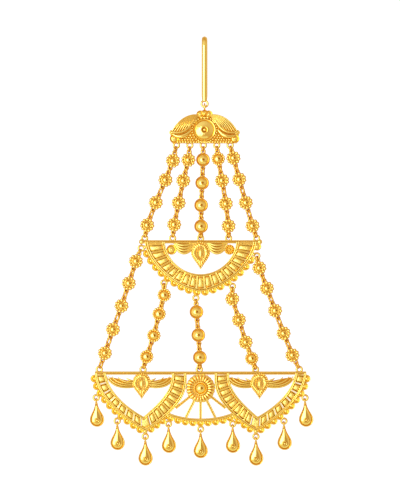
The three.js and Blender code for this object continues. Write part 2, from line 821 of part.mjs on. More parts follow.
// Drop: a pear with a swollen belly and a small boss, hung by an edge-on loop
function makeDrop(name, eye, lean) {
  const loop = ringAlong(linkRadius, linkWire, 0, 0, new THREE.Vector2(0, 1));
  const top = -linkRadius - solderBite * 0.4;
  const centre = top - dropLength + dropRadius;
  const side = bezier(
    [dropNeck, top],
    [dropNeck * 1.4, top - dropLength * 0.3],
    [dropRadius, centre + dropRadius * 0.75],
    [dropRadius, centre],
  );
  const half = sampled(side, 0, 1, 3);
  for (const angle of [30, 60]) {
    const turn = THREE.MathUtils.degToRad(angle);
    half.push([dropRadius * Math.cos(turn), centre - dropRadius * Math.sin(turn)]);
  }
  const outline = [...half, [0, top - dropLength], ...mirrored(half).reverse()];
  const body = slab(outline, -dropDepth / 2, dropDepth / 4);
  const ring = [[0, 0.62], [0.62, 0], [0.44, -0.44], [0, -0.62], [-0.44, -0.44], [-0.62, 0]];
  const belly = (scale, z) => ring.map(([x, y]) => (
    new THREE.Vector3(x * dropRadius * scale, centre + y * dropRadius * scale, z)
  ));
  const peak = new THREE.Vector3(0, centre + dropRadius * 1.6, 0);
  const swell = new ConvexGeometry([...belly(dropSwell, 0), ...belly(1, dropDepth / 2), peak]);
  const boss = new THREE.OctahedronGeometry(dropGranule, 0).translate(0, centre, dropDepth / 2);
  const x = plateShift + eye[0];
  const y = basePlateHeight + eye[1] - eyeRadius;
  const drop = toMesh(name, join([loop, body, swell, boss]), polished, x, y);
  drop.rotation.z = THREE.MathUtils.degToRad(lean);
  return drop;
}

function shifted(eyes, x, y) {
  return eyes.map((eye) => [eye[0] + x, eye[1] + y]);
}

const crownRow = shifted(crownEyes, 0, crownHeight);
const moonTopRow = shifted(moonTopEyes, plateShift, halfMoonHeight);
const moonHemRow = shifted(moonHemEyes, plateShift, halfMoonHeight);
const baseTopRow = shifted(baseTopEyes, plateShift, basePlateHeight);

const pendant = new THREE.Group();
pendant.add(makeHook(), makeCrown(), makeHalfMoon(), makeBasePlate());
upperRoutes.forEach((route, i) => {
  const domed = domedStrings.includes(i);
  pendant.add(makeString(`upper_strand_${i + 1}`, crownRow[i], moonTopRow[i], route, domed));
});
lowerRoutes.forEach((route, i) => {
  const domed = domedStrings.includes(i);
  pendant.add(makeString(`lower_strand_${i + 1}`, moonHemRow[i], baseTopRow[i], route, domed));
});
dropEyes.forEach((eye, i) => pendant.add(makeDrop(`drop_${i + 1}`, eye, dropLeans[i])));
pendant.rotation.x = Math.PI / 2;

export default pendant;
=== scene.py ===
# %% [markdown]
# # A gold forehead pendant, worked in numbers
#
# The jewel hangs from a hook in the hair. Under the hook come a winged crown, strings of small stamped
# beads, a half-moon plate, more strings, and a wide base plate with nine pear drops. Goldsmiths build such
# a piece from wire, sheet, granules and stamped domes, so this lesson makes the same few things as surfaces
# worked out with numpy, and solders them together piece by piece.

import bpy
import numpy as np
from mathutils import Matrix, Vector


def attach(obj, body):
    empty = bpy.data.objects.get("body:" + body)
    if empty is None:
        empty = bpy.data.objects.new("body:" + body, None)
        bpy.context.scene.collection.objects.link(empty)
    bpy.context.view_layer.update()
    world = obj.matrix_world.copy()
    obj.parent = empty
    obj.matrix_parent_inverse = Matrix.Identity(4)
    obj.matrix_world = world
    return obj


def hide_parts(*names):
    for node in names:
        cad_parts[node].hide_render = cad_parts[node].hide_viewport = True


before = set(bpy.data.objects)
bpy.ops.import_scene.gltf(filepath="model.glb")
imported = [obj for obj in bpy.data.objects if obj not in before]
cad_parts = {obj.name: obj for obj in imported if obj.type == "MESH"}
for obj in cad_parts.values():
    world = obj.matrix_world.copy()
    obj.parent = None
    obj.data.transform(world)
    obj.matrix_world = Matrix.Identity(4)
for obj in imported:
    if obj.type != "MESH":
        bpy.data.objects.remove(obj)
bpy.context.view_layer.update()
print("nodes in the frame:", len(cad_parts))

# %% [markdown]
# ## Where things are
#
# All shapes are drawn in millimetres as the viewer sees them: u to the right, v up, w towards the viewer.
# The decorated front faces -Y, and the plates lie a little in front of the hook's seat, so one small
# function turns drawn points into metres in the frame's own axes. Objects could be drawn anywhere and moved
# afterwards, but then each would need its own transform. Here the place is in the mesh from the start.

# %% From the drawing to the frame
PLATE_PLANE = 2.43
MM = 0.001


def to_frame(points):
    """(u, v, w) in millimetres becomes (u, -(w + plane), v) in metres."""
    u, v, w = np.moveaxis(np.asarray(points, float), -1, 0)
    return np.stack([u, -(w + PLATE_PLANE), v], -1) * MM


HINGE = -20.9
CROWN = np.array([0.0, -28.26])
MOON = np.array([-1.28, -64.06])
BASE = np.array([-1.28, -106.06])
ROW_SHIFT = -0.42
print("top of the base plate in metres:", to_frame([*BASE, 0.0]).round(4))

# %% [markdown]
# ## Lines
#
# A goldsmith marks a line on the plate and sets wire along it. Blender's curve objects could carry these
# lines, but rows of cells must be spaced by true length and mirrored exactly. So here a line is a function:
# it takes shares of its own length, from 0 to 1, and gives points. Equal steps of the share are then equal
# steps along the metal, and a row of cells, buttons or granules lies evenly along any curve.


# %% Lines by their length
def by_length(points):
    """A line through many points: their running length is inverted by interpolation."""
    steps = np.hypot(*np.diff(points, axis=0).T)
    run = np.concatenate([[0.0], np.cumsum(steps)]) / steps.sum()
    return lambda s: np.stack([np.interp(s, run, points[:, 0]), np.interp(s, run, points[:, 1])], -1)


def bezier(*corners):
    """Cubic curve: (1-t)^3 a + 3(1-t)^2 t b + 3(1-t) t^2 c + t^3 d, made even by its length."""
    a, b, c, d = np.asarray(corners, float)
    t = np.linspace(0, 1, 301)[:, None]
    return by_length((1 - t) ** 3 * a + 3 * (1 - t) ** 2 * t * b + 3 * (1 - t) * t**2 * c + t**3 * d)


def between(first, second, share):
    """The line that lies at one share of the way from the first line to the second."""
    return lambda s: first(s) + (second(s) - first(s)) * share


def moved(line, by):
    """The same line with one step added to all its points."""
    return lambda s: line(s) + by


def backwards(line):
    """The same line walked from its end to its start: share s becomes 1 - s."""
    return lambda s: line(1 - s)


def stand_off(line, share, distance):
    """A point beside the line, at a distance along the normal on its right-hand side."""
    along = line(share + 0.01) - line(share - 0.01)
    along = along / np.hypot(*along)
    return line(share) + distance * np.array([along[1], -along[0]])


print("halfway along a test curve:", bezier((0, 0), (0, 1), (2, 1), (2, 0))(0.5))

# %% [markdown]
# ## Circles, humps and mirrored points
#
# Stamps and turned parts are full of circles and soft ridges. A ridge could be drawn by hand as a row of
# heights, but a bell-shaped hump needs only its place and its width, and it fades out by itself. The left
# half of every plate is the right half mirrored, so the sign of u is all that changes.


# %% Small shapes
def circle(radius, count, centre=(0.0, 0.0), turn=0.0):
    """Centre + radius (cos a, sin a) for evenly spaced angles a that start at the turn."""
    angle = turn + np.linspace(0, 2 * np.pi, count, endpoint=False)
    return np.stack([centre[0] + radius * np.cos(angle), centre[1] + radius * np.sin(angle)], -1)


def hump(x, middle, width):
    """A soft bump of height 1: e to the power of -((x - middle) / width) squared."""
    return np.exp(-(((x - middle) / width) ** 2))


def mirror(points, side):
    """(u, v) or (u, v, w) with u times the side, which is 1 or -1."""
    return np.asarray(points, float) * ([side, 1] if np.shape(points)[-1] == 2 else [side, 1, 1])


print("a hump half its width away from the middle is", round(float(hump(0.5, 0.0, 1.0)), 3), "high")

# %% [markdown]
# ## Gathering gold
#
# On the bench, wires and granules are soldered onto a plate and become one piece. In Blender each could be
# an object that is joined later, but gathering the points and making one mesh at the end is far quicker.
# A Work holds the closed shells of one piece. Every shell is a grid of points whose rows close on
# themselves, with a point at either end. The sign of its volume says whether its faces look outwards, and
# an inside-out shell is simply turned round. Two numbers ride along with every point: how frosted the metal
# is there, and how much painted shade it gets, most where it lies deep between its neighbours.

# %% A piece of work
SHARP_FROM = np.radians(50)


def turned_out(points, quads, tris):
    """Faces in the order that gives a positive volume, the sum of a . (b x c) over the shell's triangles."""
    flat = np.concatenate([quads[:, [0, 1, 2]], quads[:, [0, 2, 3]], tris])
    a, b, c = points[flat[:, 0]], points[flat[:, 1]], points[flat[:, 2]]
    if np.einsum("ij,ij->i", a, np.cross(b, c)).sum() < 0:
        return quads[:, ::-1], tris[:, ::-1]
    return quads, tris


class Work:
    """The shells of one piece, until they become one mesh."""

    def __init__(self):
        # The second number is painted shade: the colour goes darker where less light would reach.
        self.points, self.quads, self.tris, self.frost, self.hollow_shade = [], [], [], [], []
        self.count = 0

    def shell(self, grid, frost=0.0, hollow_shade=0.0, start=None, end=None, loop=False):
        """Rows that close on themselves, joined row to row, with a point at either end or looped."""
        rows, around = grid.shape[:2]
        index = np.arange(rows * around).reshape(rows, around)
        upper = index if loop else index[:-1]
        lower = np.roll(index, -1, 0) if loop else index[1:]
        quads = np.stack([upper, lower, np.roll(lower, -1, 1), np.roll(upper, -1, 1)], -1).reshape(-1, 4)
        points = grid.reshape(-1, 3)
        looks = [np.broadcast_to(np.asarray(look, float), (rows, around)) for look in (frost, hollow_shade)]
        tris = np.zeros((0, 3), int)
        ends = []
        if not loop:
            ends = [grid[0].mean(0) if start is None else start, grid[-1].mean(0) if end is None else end]
            first = np.stack([np.full(around, rows * around), np.roll(index[0], -1), index[0]], -1)
            last = np.stack([np.full(around, rows * around + 1), index[-1], np.roll(index[-1], -1)], -1)
            tris = np.concatenate([first, last])[:, ::-1]
            points = np.concatenate([points, np.asarray(ends, float)])
        quads, tris = turned_out(points, quads, tris)
        self.points.append(points)
        self.quads.append(quads + self.count)
        self.tris.append(tris + self.count)
        for kept, look in zip((self.frost, self.hollow_shade), looks):
            kept.append(look.reshape(-1))
            if ends:
                kept.append(np.array([look[0].mean(), look[-1].mean()]))
        self.count += len(points)

    def finish(self, name, nodes, body, material):
        """All shells as one mesh object that stands for its CAD nodes and rides on their body."""
        mesh = bpy.data.meshes.new(name)
        quads, tris = np.concatenate(self.quads), np.concatenate(self.tris)
        mesh.from_pydata(to_frame(np.concatenate(self.points)), [], quads.tolist() + tris.tolist())
        for label, values in (("frost", self.frost), ("hollow_shade", self.hollow_shade)):
            attribute = mesh.attributes.new(label, "FLOAT", "POINT")
            attribute.data.foreach_set("value", np.clip(np.concatenate(values), 0, 1).astype(np.float32))
        mesh.shade_smooth()
        mesh.set_sharp_from_angle(angle=SHARP_FROM)
        mesh.materials.append(material)
        piece = bpy.data.objects.new(name, mesh)
        bpy.context.scene.collection.objects.link(piece)
        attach(piece, body)
        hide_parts(*nodes)
        print(f"{name}: {2 * len(quads) + len(tris)} triangles")
        return piece


trial = Work()
trial.shell(np.array([[[x, y, z] for x, y in ((0, 0), (1, 0), (1, 1), (0, 1))] for z in (0.0, 1.0)]))
print("a box as two rows of four points, closed by a point at either end:", trial.count, "points")

# %% [markdown]
# ## Wire
#
# Most of the jewel is wire: rings, ridges, loops and ribs. A curve with a bevel would give the shape, but it
# can't carry the two numbers. So a wire here is a small round section carried along a path. All the paths
# lie in one plane, so the section needs only the plane's normal and the direction square to the path, and
# never twists. A radius that shrinks along the path draws the wire out to a point. Its sides are painted
# darker than its top, as painted shade where two wires lie close side by side.

# %% Wire and rings
# How strong the painted shade on the sides of wires and balls is, and how fast it fades towards the front.
SIDE_DEPTH, SIDE_FALL = 0.82, 1.05


def side_shade(facing):
    """Painted shade: nothing where the surface faces front or back, most on its sides."""
    return np.clip(SIDE_DEPTH - SIDE_FALL * np.abs(facing), 0, 1)


def in_space(points, height=0.0):
    """(u, v) becomes (u, v, height); points that already have three numbers stay."""
    points = np.asarray(points, float)
    if points.shape[-1] == 3:
        return points
    return np.concatenate([points, np.broadcast_to(height, points.shape[:-1])[..., None]], -1)


def wire(work, path, radius, sides=8, axis=(0, 0, 1), flat=1.0, loop=False, height=0.0, deep=1.0, shade=0.0):
    """Point (i, k) = path_i + r_i (cos a_k side_i + flat sin a_k axis)."""
    path = in_space(path, height)
    along = np.roll(path, -1, 0) - np.roll(path, 1, 0) if loop else np.gradient(path, axis=0)
    side = np.cross(along, axis)
    side /= np.linalg.norm(side, axis=1, keepdims=True)
    radius = np.broadcast_to(np.asarray(radius, float), len(path))[:, None, None]
    angle = np.linspace(0, 2 * np.pi, sides, endpoint=False)[None, :, None]
    round_section = np.cos(angle) * side[:, None] + np.sin(angle) * np.asarray(axis, float)
    section = np.cos(angle) * side[:, None] + flat * np.sin(angle) * np.asarray(axis, float)
    # Painted shade on the wire's sides, plus any shade given for the whole wire.
    work.shell(path[:, None] + radius * section, 0.0, shade + deep * side_shade(round_section[..., 2]), loop=loop)


def ring(work, centre, radius, gauge, axis=(0, 0, 1), steps=24, sides=8, shade=0.0):
    """Centre + R (cos t e + sin t f), where e and f span the plane square to the axis."""
    axis = np.asarray(axis, float) / np.linalg.norm(axis)
    e = np.cross(axis, (0, 0, 1) if abs(axis[2]) < 0.9 else (0, 1, 0))
    e /= np.linalg.norm(e)
    f = np.cross(axis, e)
    t = np.linspace(0, 2 * np.pi, steps, endpoint=False)[:, None]
    path = in_space(centre) + radius * (np.cos(t) * e + np.sin(t) * f)
    wire(work, path, gauge, sides, axis, loop=True, shade=shade)


trial = Work()
ring(trial, (0.0, 0.0), 1.0, 0.3)
print("points in one ring of wire:", trial.count)

# %% [markdown]
# ## Balls and granules
#
# A granule is a clipping of wire melted on charcoal, which draws itself into a ball. Blender's own sphere
# would do, but the granules have to join the same shells as the wire. Here a ball is rows of latitude with a
# point at either pole. Some are squashed into low bosses. There are hundreds of granules, so each has only a
# few dozen faces, and the large balls have more.

# %% Balls
# The share of the painted side shade that a ball or granule gets.
BALL_SIDE = 0.7
GRANULE_ROWS, GRANULE_AROUND = 5, 8


def ball(work, centre, radius, height=0.0, rows=6, around=12, squash=1.0):
    """Rows of latitude: r (cos b cos a, cos b sin a, squash sin b)."""
    lat = np.linspace(-np.pi / 2, np.pi / 2, rows + 2)[1:-1, None]
    lon = np.linspace(0, 2 * np.pi, around, endpoint=False)[None]
    unit = [np.cos(lat) * np.cos(lon), np.cos(lat) * np.sin(lon), squash * np.sin(lat) + 0 * lon]
    unit = np.stack(unit, -1)
    centre = in_space(centre, height)
    tip = np.array([0, 0, radius * squash])
    work.shell(centre + radius * unit, 0.0, BALL_SIDE * side_shade(unit[..., 2]), centre - tip, centre + tip)


def granule(work, centre, radius, height, squash=1.0):
    """A ball for hundreds of places, with few faces."""
    ball(work, centre, radius, height, GRANULE_ROWS, GRANULE_AROUND, squash)


trial = Work()
granule(trial, (0.0, 0.0), 0.5, 0.0)
print("points in one granule:", trial.count)

# %% [markdown]
# ## Stamped relief and flat strips
#
# Beads, drops, leaves and the sun are stamped from sheet. They could be sculpted, but a stamp is regular:
# seen from above it has an outline and rises in rings towards its middle. So its grid is the outline drawn
# in towards the centre by a row of shares, with one height for each share, or a table of heights where
# petals or flutes change them around the centre. A strip is the flat metal between two lines, closed by its
# back. The pin-prick is a small disc painted dark, as painted shade standing for a hole. The beads in the
# photograph have a dark dot in the middle, which is read here as a hole left by the stamp, though it could
# also be a reflection.

# %% Relief, strip and pin-prick
MIDDLE_SHARE, EDGE_SHARE = 0.004, 0.985
# EDGE_HOLLOW and BACK_HOLLOW are painted shade at the rim of a relief and on its back.
EDGE_HOLLOW, BACK_HOLLOW, BACK_FROST, BACK_BULGE = 0.45, 0.15, 0.3, 0.03
PRICK_RADIUS, PRICK_BACK, PRICK_FALL = 0.42, 0.1, 0.1


def relief(work, outline, centre, shares, heights, back, frost=0.0, hollow_shade=0.0, spine=None):
    """Ring s = centre + (1 - (1 - s)^3)(spine - centre) + s (outline - spine) at its height, then a back."""
    outline, centre = np.asarray(outline, float), np.asarray(centre, float)
    spine = np.broadcast_to(centre if spine is None else spine, outline.shape)
    shares, heights = np.asarray(shares, float), np.asarray(heights, float)
    s = np.maximum(shares, MIDDLE_SHARE)[:, None, None]
    flat = centre + (1 - (1 - s) ** 3) * (spine - centre) + s * (outline - spine)
    heights = np.broadcast_to(heights[:, None] if heights.ndim == 1 else heights, flat.shape[:2])
    front = np.concatenate([flat, heights[..., None]], -1)
    looks = []
    for look, edge, behind in ((frost, 0.0, BACK_FROST), (hollow_shade, EDGE_HOLLOW, BACK_HOLLOW)):
        look = np.asarray(look, float)
        look = np.broadcast_to(look[:, None] if look.ndim == 1 else look, flat.shape[:2])
        look = np.maximum(look, edge * (shares > EDGE_SHARE)[:, None])
        looks.append(np.concatenate([look, 0 * look[-1:] + behind]))
    tips = [np.append(centre, heights[0].mean()), np.append(outline.mean(0), back - BACK_BULGE)]
    work.shell(np.concatenate([front, in_space(outline, back)[None]]), *looks, *tips)


def strip(work, first, second, heights, back, across=2, frost=0.0, hollow_shade=0.0):
    """Point (i, j) = first_i + a_j (second_i - first_i) at height_j; the same points again at the back."""
    first, second = np.asarray(first, float), np.asarray(second, float)
    a = np.linspace(0, 1, across)[None, :, None]
    flat = first[:, None] + a * (second - first)[:, None]
    heights = np.broadcast_to(np.asarray(heights, float), flat.shape[:2])
    front = np.concatenate([flat, heights[..., None]], -1)
    behind = np.concatenate([flat, np.full(flat.shape[:2] + (1,), back)], -1)[:, ::-1]
    looks = []
    for look in (frost, hollow_shade):
        look = np.broadcast_to(np.asarray(look, float), flat.shape[:2])
        looks.append(np.concatenate([look, np.zeros(flat.shape[:2])], 1))
    work.shell(np.concatenate([front, behind], 1), *looks)


def prick(work, centre, height, radius=PRICK_RADIUS):
    """A small disc painted dark, as painted shade standing for a hole, that falls towards its rim: height -
    0.1 s^4.
    """
    shares = np.array([0, 0.5, 0.8, 1.0])
    outline = circle(radius, 14, centre)
    relief(work, outline, centre, shares, height - PRICK_FALL * shares**4, PRICK_BACK, frost=0.3, hollow_shade=1.0)


trial = Work()
prick(trial, (0.0, 0.0), 1.0)
print("points in one pin-prick:", trial.count)

# %% [markdown]
# ## Shader maths as Python
#
# Node trees are easier to read as formulas, and a formula can be changed without drawing links again. The
# class below wraps one socket, and adding, multiplying or subtracting two of them adds the Math node. Any
# other node comes from one method. The same class writes the gold and the studio around it.


# %% Sockets with operators
class Sock:
    """One output socket of a node tree, with Python's operators."""

    def __init__(self, tree, socket):
        self.tree, self.socket = tree, socket

    def node(self, kind, inputs=(), output=0, **settings):
        """Adds a node, sets its settings first, then its sockets from values or links."""
        made = self.tree.nodes.new(kind)
        for key, value in settings.items():
            setattr(made, key, value)
        for key, value in dict(inputs).items():
            if isinstance(value, Sock):
                self.tree.links.new(value.socket, made.inputs[key])
            else:
                made.inputs[key].default_value = value
        return Sock(self.tree, made.outputs[output])

    def math(self, operation, *others, clamp=False):
        """A Math node whose first value is this socket."""
        values = dict(enumerate((self,) + others))
        return self.node("ShaderNodeMath", values, operation=operation, use_clamp=clamp)

    def __add__(self, other):
        return self.math("ADD", other)

    __radd__ = __add__

    def __mul__(self, other):
        return self.math("MULTIPLY", other)

    __rmul__ = __mul__

    def __sub__(self, other):
        return self.math("SUBTRACT", other)

    def __rsub__(self, other):
        return (self * -1.0) + other

    def __pow__(self, other):
        return self.math("POWER", other)

    def clamped(self):
        """This value held between 0 and 1."""
        return self.math("ADD", 0.0, clamp=True)

    def towards(self, direction):
        """Dot product of this vector with a direction of length one, never below zero."""
        direction = tuple(np.asarray(direction) / np.linalg.norm(direction))
        made = self.node("ShaderNodeVectorMath", {0: self, 1: direction}, "Value", operation="DOT_PRODUCT")
        return made.math("MAXIMUM", 0.0)

    def blend(self, first, second):
        """Mixes two colours by this value, through the Mix node's colour sockets 6 and 7."""
        inputs = {0: self, 6: first, 7: second}
        return self.node("ShaderNodeMix", inputs, 2, data_type="RGBA", clamp_factor=True)


print("a socket's own methods:", ", ".join(name for name in vars(Sock) if not name.startswith("__")))

# %% [markdown]
# ## Gold
#
# High-carat gold is a deep warm yellow. What makes it look rich is light that bounces many times between
# neighbouring walls, so the valleys turn orange, and the narrowest grooves brown. The renderer finds part of
# that by itself. The rest is painted by the hollow_shade number as painted shade, which holds in every view.
# The pads of the plates are frosted with a fine punch, and the ridges, domes and drops are polished: the
# frost number raises the roughness and lets the punch's grain through the bump. A slow noise on Object
# coordinates varies colour and gloss a little, as wear does. One recipe covers all three finishes.

# %% The recipe for gold
# The brown of painted shade in the narrowest grooves and the pin-pricks.
PIT_SHADE = (0.34, 0.1, 0.003, 1.0)
PIT_FROM, PIT_RISE = 0.82, 5.0
WEAR_SCALE, WEAR_TINT, WEAR_SHIFT, WEAR_GLOSS = 0.16, 0.16, 0.06, 0.06
HOLLOW_ROUGH = 0.08
GRAIN_FROSTED, GRAIN_POLISHED, GRAIN_STRENGTH, GRAIN_DEPTH = 0.9, 0.008, 0.7, 0.00009


def gold(name, bright, deep, polish, frosted, grain):
    """Colour goes bright, deep, pit with the painted shade; roughness goes polish, frosted with the frost."""
    material = bpy.data.materials.new(name)
    material.use_nodes = True
    tree = material.node_tree
    shader = tree.nodes["Principled BSDF"]
    shader.inputs["Metallic"].default_value = 1.0
    begin = Sock(tree, shader.outputs[0])
    frost = begin.node("ShaderNodeAttribute", output="Fac", attribute_name="frost")
    hollow_shade = begin.node("ShaderNodeAttribute", output="Fac", attribute_name="hollow_shade")
    place = begin.node("ShaderNodeTexCoord", output="Object")
    punch = place.node("ShaderNodeTexNoise", {"Vector": place, "Scale": grain, "Detail": 2.0})
    wear = place.node("ShaderNodeTexNoise", {"Vector": place, "Scale": grain * WEAR_SCALE, "Detail": 3.0})
    # Painted shade, with a little random wear, blends the colour from bright towards deep.
    shade_and_wear = (hollow_shade + wear * WEAR_TINT - WEAR_SHIFT).clamped()
    metal = shade_and_wear.blend((*bright, 1.0), (*deep, 1.0))
    colour = ((hollow_shade - PIT_FROM) * PIT_RISE).clamped().blend(metal, PIT_SHADE)
    rough = frost * (frosted - polish) + polish + (wear - 0.5) * WEAR_GLOSS + hollow_shade * HOLLOW_ROUGH
    grains = punch * (frost * GRAIN_FROSTED + GRAIN_POLISHED)
    bump_inputs = {"Strength": GRAIN_STRENGTH, "Distance": GRAIN_DEPTH, "Height": grains}
    bump = begin.node("ShaderNodeBump", bump_inputs)
    for socket, value in (("Base Color", colour), ("Roughness", rough), ("Normal", bump)):
        tree.links.new(value.socket, shader.inputs[socket])
    return material


# The deep colours are the orange of painted shade in the valleys.
BRIGHT, VALLEY_SHADE, SOFT_VALLEY_SHADE = (1.0, 0.74, 0.155), (0.84, 0.325, 0.004), (0.9, 0.4, 0.01)
POLISHED = gold("polished_gold", BRIGHT, SOFT_VALLEY_SHADE, polish=0.12, frosted=0.34, grain=5200)
CAST = gold("cast_gold", BRIGHT, VALLEY_SHADE, polish=0.15, frosted=0.38, grain=4200)
STAMPED = gold("stamped_gold", BRIGHT, VALLEY_SHADE, polish=0.13, frosted=0.36, grain=4600)
print("nodes in each gold finish:", len(POLISHED.node_tree.nodes))

# %% [markdown]
# ## The hook
#
# A round bar is bent over a seat, so that it sits astride a parting of the hair. It could be a cylinder with
# a bent end, but a real bar has no joint, so it is one wire whose path runs up the front leg, over the bend
# and down behind. At its free end the radius follows a quarter circle, which rounds it off. A ring eye at
# the foot of the front leg holds the crown's bail, and a ball of solder joins the two. The bend and the rear
# leg are behind the front leg in the photograph, so their shape is a guess.

# %% Hook
ROD, FRONT_LEG, REAR_LEG, ROUNDED_END = 0.93, 18.9, 13.5, 0.9
HOOK_EYE, HOOK_EYE_WIRE = 1.0, 0.34
SOLDER_BALL = 0.62
END_STEPS = 8


def make_hook():
    """A straight front leg, half a circle over the top, and a rear leg with a rounded end."""
    work = Work()
    t = np.linspace(0, np.pi, 25)[:, None]
    bend = np.hstack([0 * t, ROD - PLATE_PLANE + PLATE_PLANE * np.sin(t), PLATE_PLANE * (np.cos(t) - 1)])
    q = np.linspace(0, np.pi / 2, END_STEPS)[:, None]
    tail = np.hstack([0 * q, -REAR_LEG - ROUNDED_END * np.sin(q), 0 * q - 2 * PLATE_PLANE])
    front = np.linspace([0, -FRONT_LEG - 0.1, 0], [0, ROD - PLATE_PLANE - 0.5, 0], 12)
    path = np.concatenate([front, bend, tail])
    radius = np.full(len(path), ROD)
    radius[-END_STEPS:] = ROD * np.maximum(np.cos(q[:, 0]), 0.08)
    radius[0] = ROD * 0.8
    wire(work, path, radius, 24, (1, 0, 0), deep=0.25)
    ring(work, (0, HINGE + HOOK_EYE), HOOK_EYE, HOOK_EYE_WIRE, steps=32, sides=12)
    ball(work, (0, -FRONT_LEG + 0.12), SOLDER_BALL, squash=0.9)
    return work.finish("hook_bar", ["hair_hook"], "hook", POLISHED)


make_hook()

# %% [markdown]
# ## The leaf
#
# A pointed leaf hangs under both plates: a raised rim of granules, short ribs that run in from the rim, and
# a long polished boss set upright in the middle. A leaf could be drawn as a picture and pushed up, but its
# pattern is regular. So its outline is two curves, mirrored, and the ribs are a cosine of the angle around
# the centre, which fades out towards the boss.

# %% Leaf
LEAF_RIBS, LEAF_GRANULES = 13, 28


def leaf(work, length, half_width, x, y):
    """Height 0.4 + 0.22 |cos 13 a| where the ribs are, a rim of granules, and a boss sqrt(1 - s^2) high."""
    widest = (half_width, -length * 0.3)
    lower_side = bezier((0, -length), (half_width * 0.5, -length * 0.7), (half_width * 1.35, -length * 0.5),
                        widest)
    upper_side = bezier(widest, (half_width * 0.9, -length * 0.08), (half_width * 0.4, 0), (0, 0))
    half = np.concatenate([lower_side(np.linspace(0, 1, 33)), upper_side(np.linspace(0, 1, 20))[1:-1]])
    outline = np.concatenate([half, (half * [-1, 1])[:0:-1]]) + [x, y]
    centre = np.array([x, y - length * 0.42])
    shares = np.linspace(0, 1, 14)
    wide = shares[:, None]
    around = np.arctan2(*(outline - centre).T[::-1])
    ribs = np.abs(np.cos(LEAF_RIBS * around))
    heights = 0.4 + 0.22 * ribs * hump(wide, 0.68, 0.14) - 0.15 * (wide > EDGE_SHARE)
    # Painted shade between the ribs, in a ring halfway out and just inside the rim.
    hollow_shade = (0.75 * (1 - ribs) * hump(wide, 0.7, 0.2) + 0.5 * hump(wide, 0.45, 0.1)
              + 0.8 * hump(wide, 0.84, 0.05))
    relief(work, outline, centre, shares, heights, -0.4, hollow_shade=hollow_shade)
    rim = by_length(np.concatenate([outline, outline[:1]]))
    for point in rim(np.arange(LEAF_GRANULES) / LEAF_GRANULES):
        granule(work, centre + (point - centre) * 0.93, 0.34, 0.5)
    oval = circle(1.0, 28) * [half_width * 0.24, length * 0.2] + centre
    shares = np.linspace(0, 1, 8)
    relief(work, oval, centre, shares, 0.55 + 0.75 * np.sqrt(1 - 0.98 * shares**2), 0.2)
    wire(work, (oval - centre) * [1.7, 1.25] + centre, 0.18, 6, loop=True, height=0.56)


print("ribs round a leaf:", 2 * LEAF_RIBS)

# %% [markdown]
# ## The crown's plate
#
# The crown is the richest casting. Underneath everything lies a low domed plate: its outline runs along the
# shoulder from the neck to the tip of the wing, then down the end lobe to the straight foot. It could carry
# all the ornament as heights, but the feathers and granules stand clear of it, so it stays plain. Its colour
# is painted deep as shade, because only its valleys are seen.

# %% Crown: plate
CROWN_HALF, CROWN_TOP, CROWN_FOOT = 10.9, 5.0, 4.32
BAIL, BAIL_WIRE = 0.92, 0.28
EYE, EYE_WIRE = 0.94, 0.27
# The ring eyes get a little painted shade all over.
EYE_SHADE = 0.2
CROWN_EYES = np.array([[ROW_SHIFT + 4.3 * k, -CROWN_FOOT - 0.6] for k in range(-2, 3)]) + CROWN
SHOULDER = bezier((2.3, CROWN_TOP), (CROWN_HALF * 0.64, CROWN_TOP * 1.02),
                  (CROWN_HALF * 0.75, CROWN_TOP * 0.3), (CROWN_HALF, -0.6))


def crown_plate(work):
    """Height 0.28 + 0.12 (1 - s^2) inside the outline of both wings."""
    foot = [[CROWN_HALF - 0.6, -CROWN_FOOT], [CROWN_HALF, -CROWN_FOOT + 1.75]]
    half = by_length(np.concatenate([foot, SHOULDER(np.linspace(1, 0, 24))]))(np.linspace(0, 1, 60))
    outline = np.concatenate([half, (half * [-1, 1])[::-1]]) + CROWN
    shares = np.linspace(0, 1, 16)
    # The whole plate is painted deep as shade.
    relief(work, outline, CROWN, shares, 0.28 + 0.12 * (1 - shares**2), -0.5, hollow_shade=0.84)


def ring_eye(work, place):
    """A ring of wire soldered flat to a plate, through which the next link passes."""
    ring(work, place, EYE - 0.08, EYE_WIRE + 0.07, shade=EYE_SHADE)


print("crown's ring eyes, mm to the right:", CROWN_EYES[:, 0].round(2))

# %% [markdown]
# ## The crown's feathers
#
# Narrow feathers fan out over each wing from the neck. They could be flutes in the plate, but tapered wires
# laid side by side catch one long highlight each, as the photograph shows. Each is flattened a little and
# has twelve sides, so that its top stays smooth. The photograph is too small to count the feathers. It
# suggests about nine to a wing, and eight are made.

# %% Crown: feathers
FEATHERS, FEATHER_WIRE = 8, 0.22


def crown_feathers(work, side):
    """Feather k leaves the neck below feather k - 1 and ends further in along the ribbon."""
    s = np.linspace(0, 1, 32)
    radius = FEATHER_WIRE * np.sin(np.pi * (0.14 + 0.72 * s)) ** 0.6 + 0.02
    height = 0.62 + 0.12 * np.sin(np.pi * s)
    for k in range(FEATHERS):
        share = k / (FEATHERS - 1)
        root = np.array([1.9 + 0.7 * share, 4.8 - 2.3 * share])
        tip = np.array([10.5 - 5.8 * share, -0.65 + 1.0 * share - 1.0 * share * (1 - share)])
        reach = tip - root
        line = bezier(root, root + [reach[0] * 0.5, 0.45 - 0.25 * share],
                      tip + [-reach[0] * 0.16, 2.5 - 0.9 * share], tip)
        wire(work, mirror(line(s), side) + CROWN, radius, 12, flat=1.4, height=height, deep=0.5)


print("feathers on the crown:", 2 * FEATHERS)

# %% [markdown]
# ## The crown's ribbons and lobes
#
# Two smooth ribbons swing from the dish to the tip of each wing, a slim one above and a full crescent below.
# Sheet bent by hand would need a solid wall. Here both are wires whose radius follows a sine, so that they
# swell in the middle and run out at both ends. A ringed ball closes the tip. Below it sits an end lobe, like
# the end of a scroll: a small dome, a groove painted dark as shade, and a rolled rim.

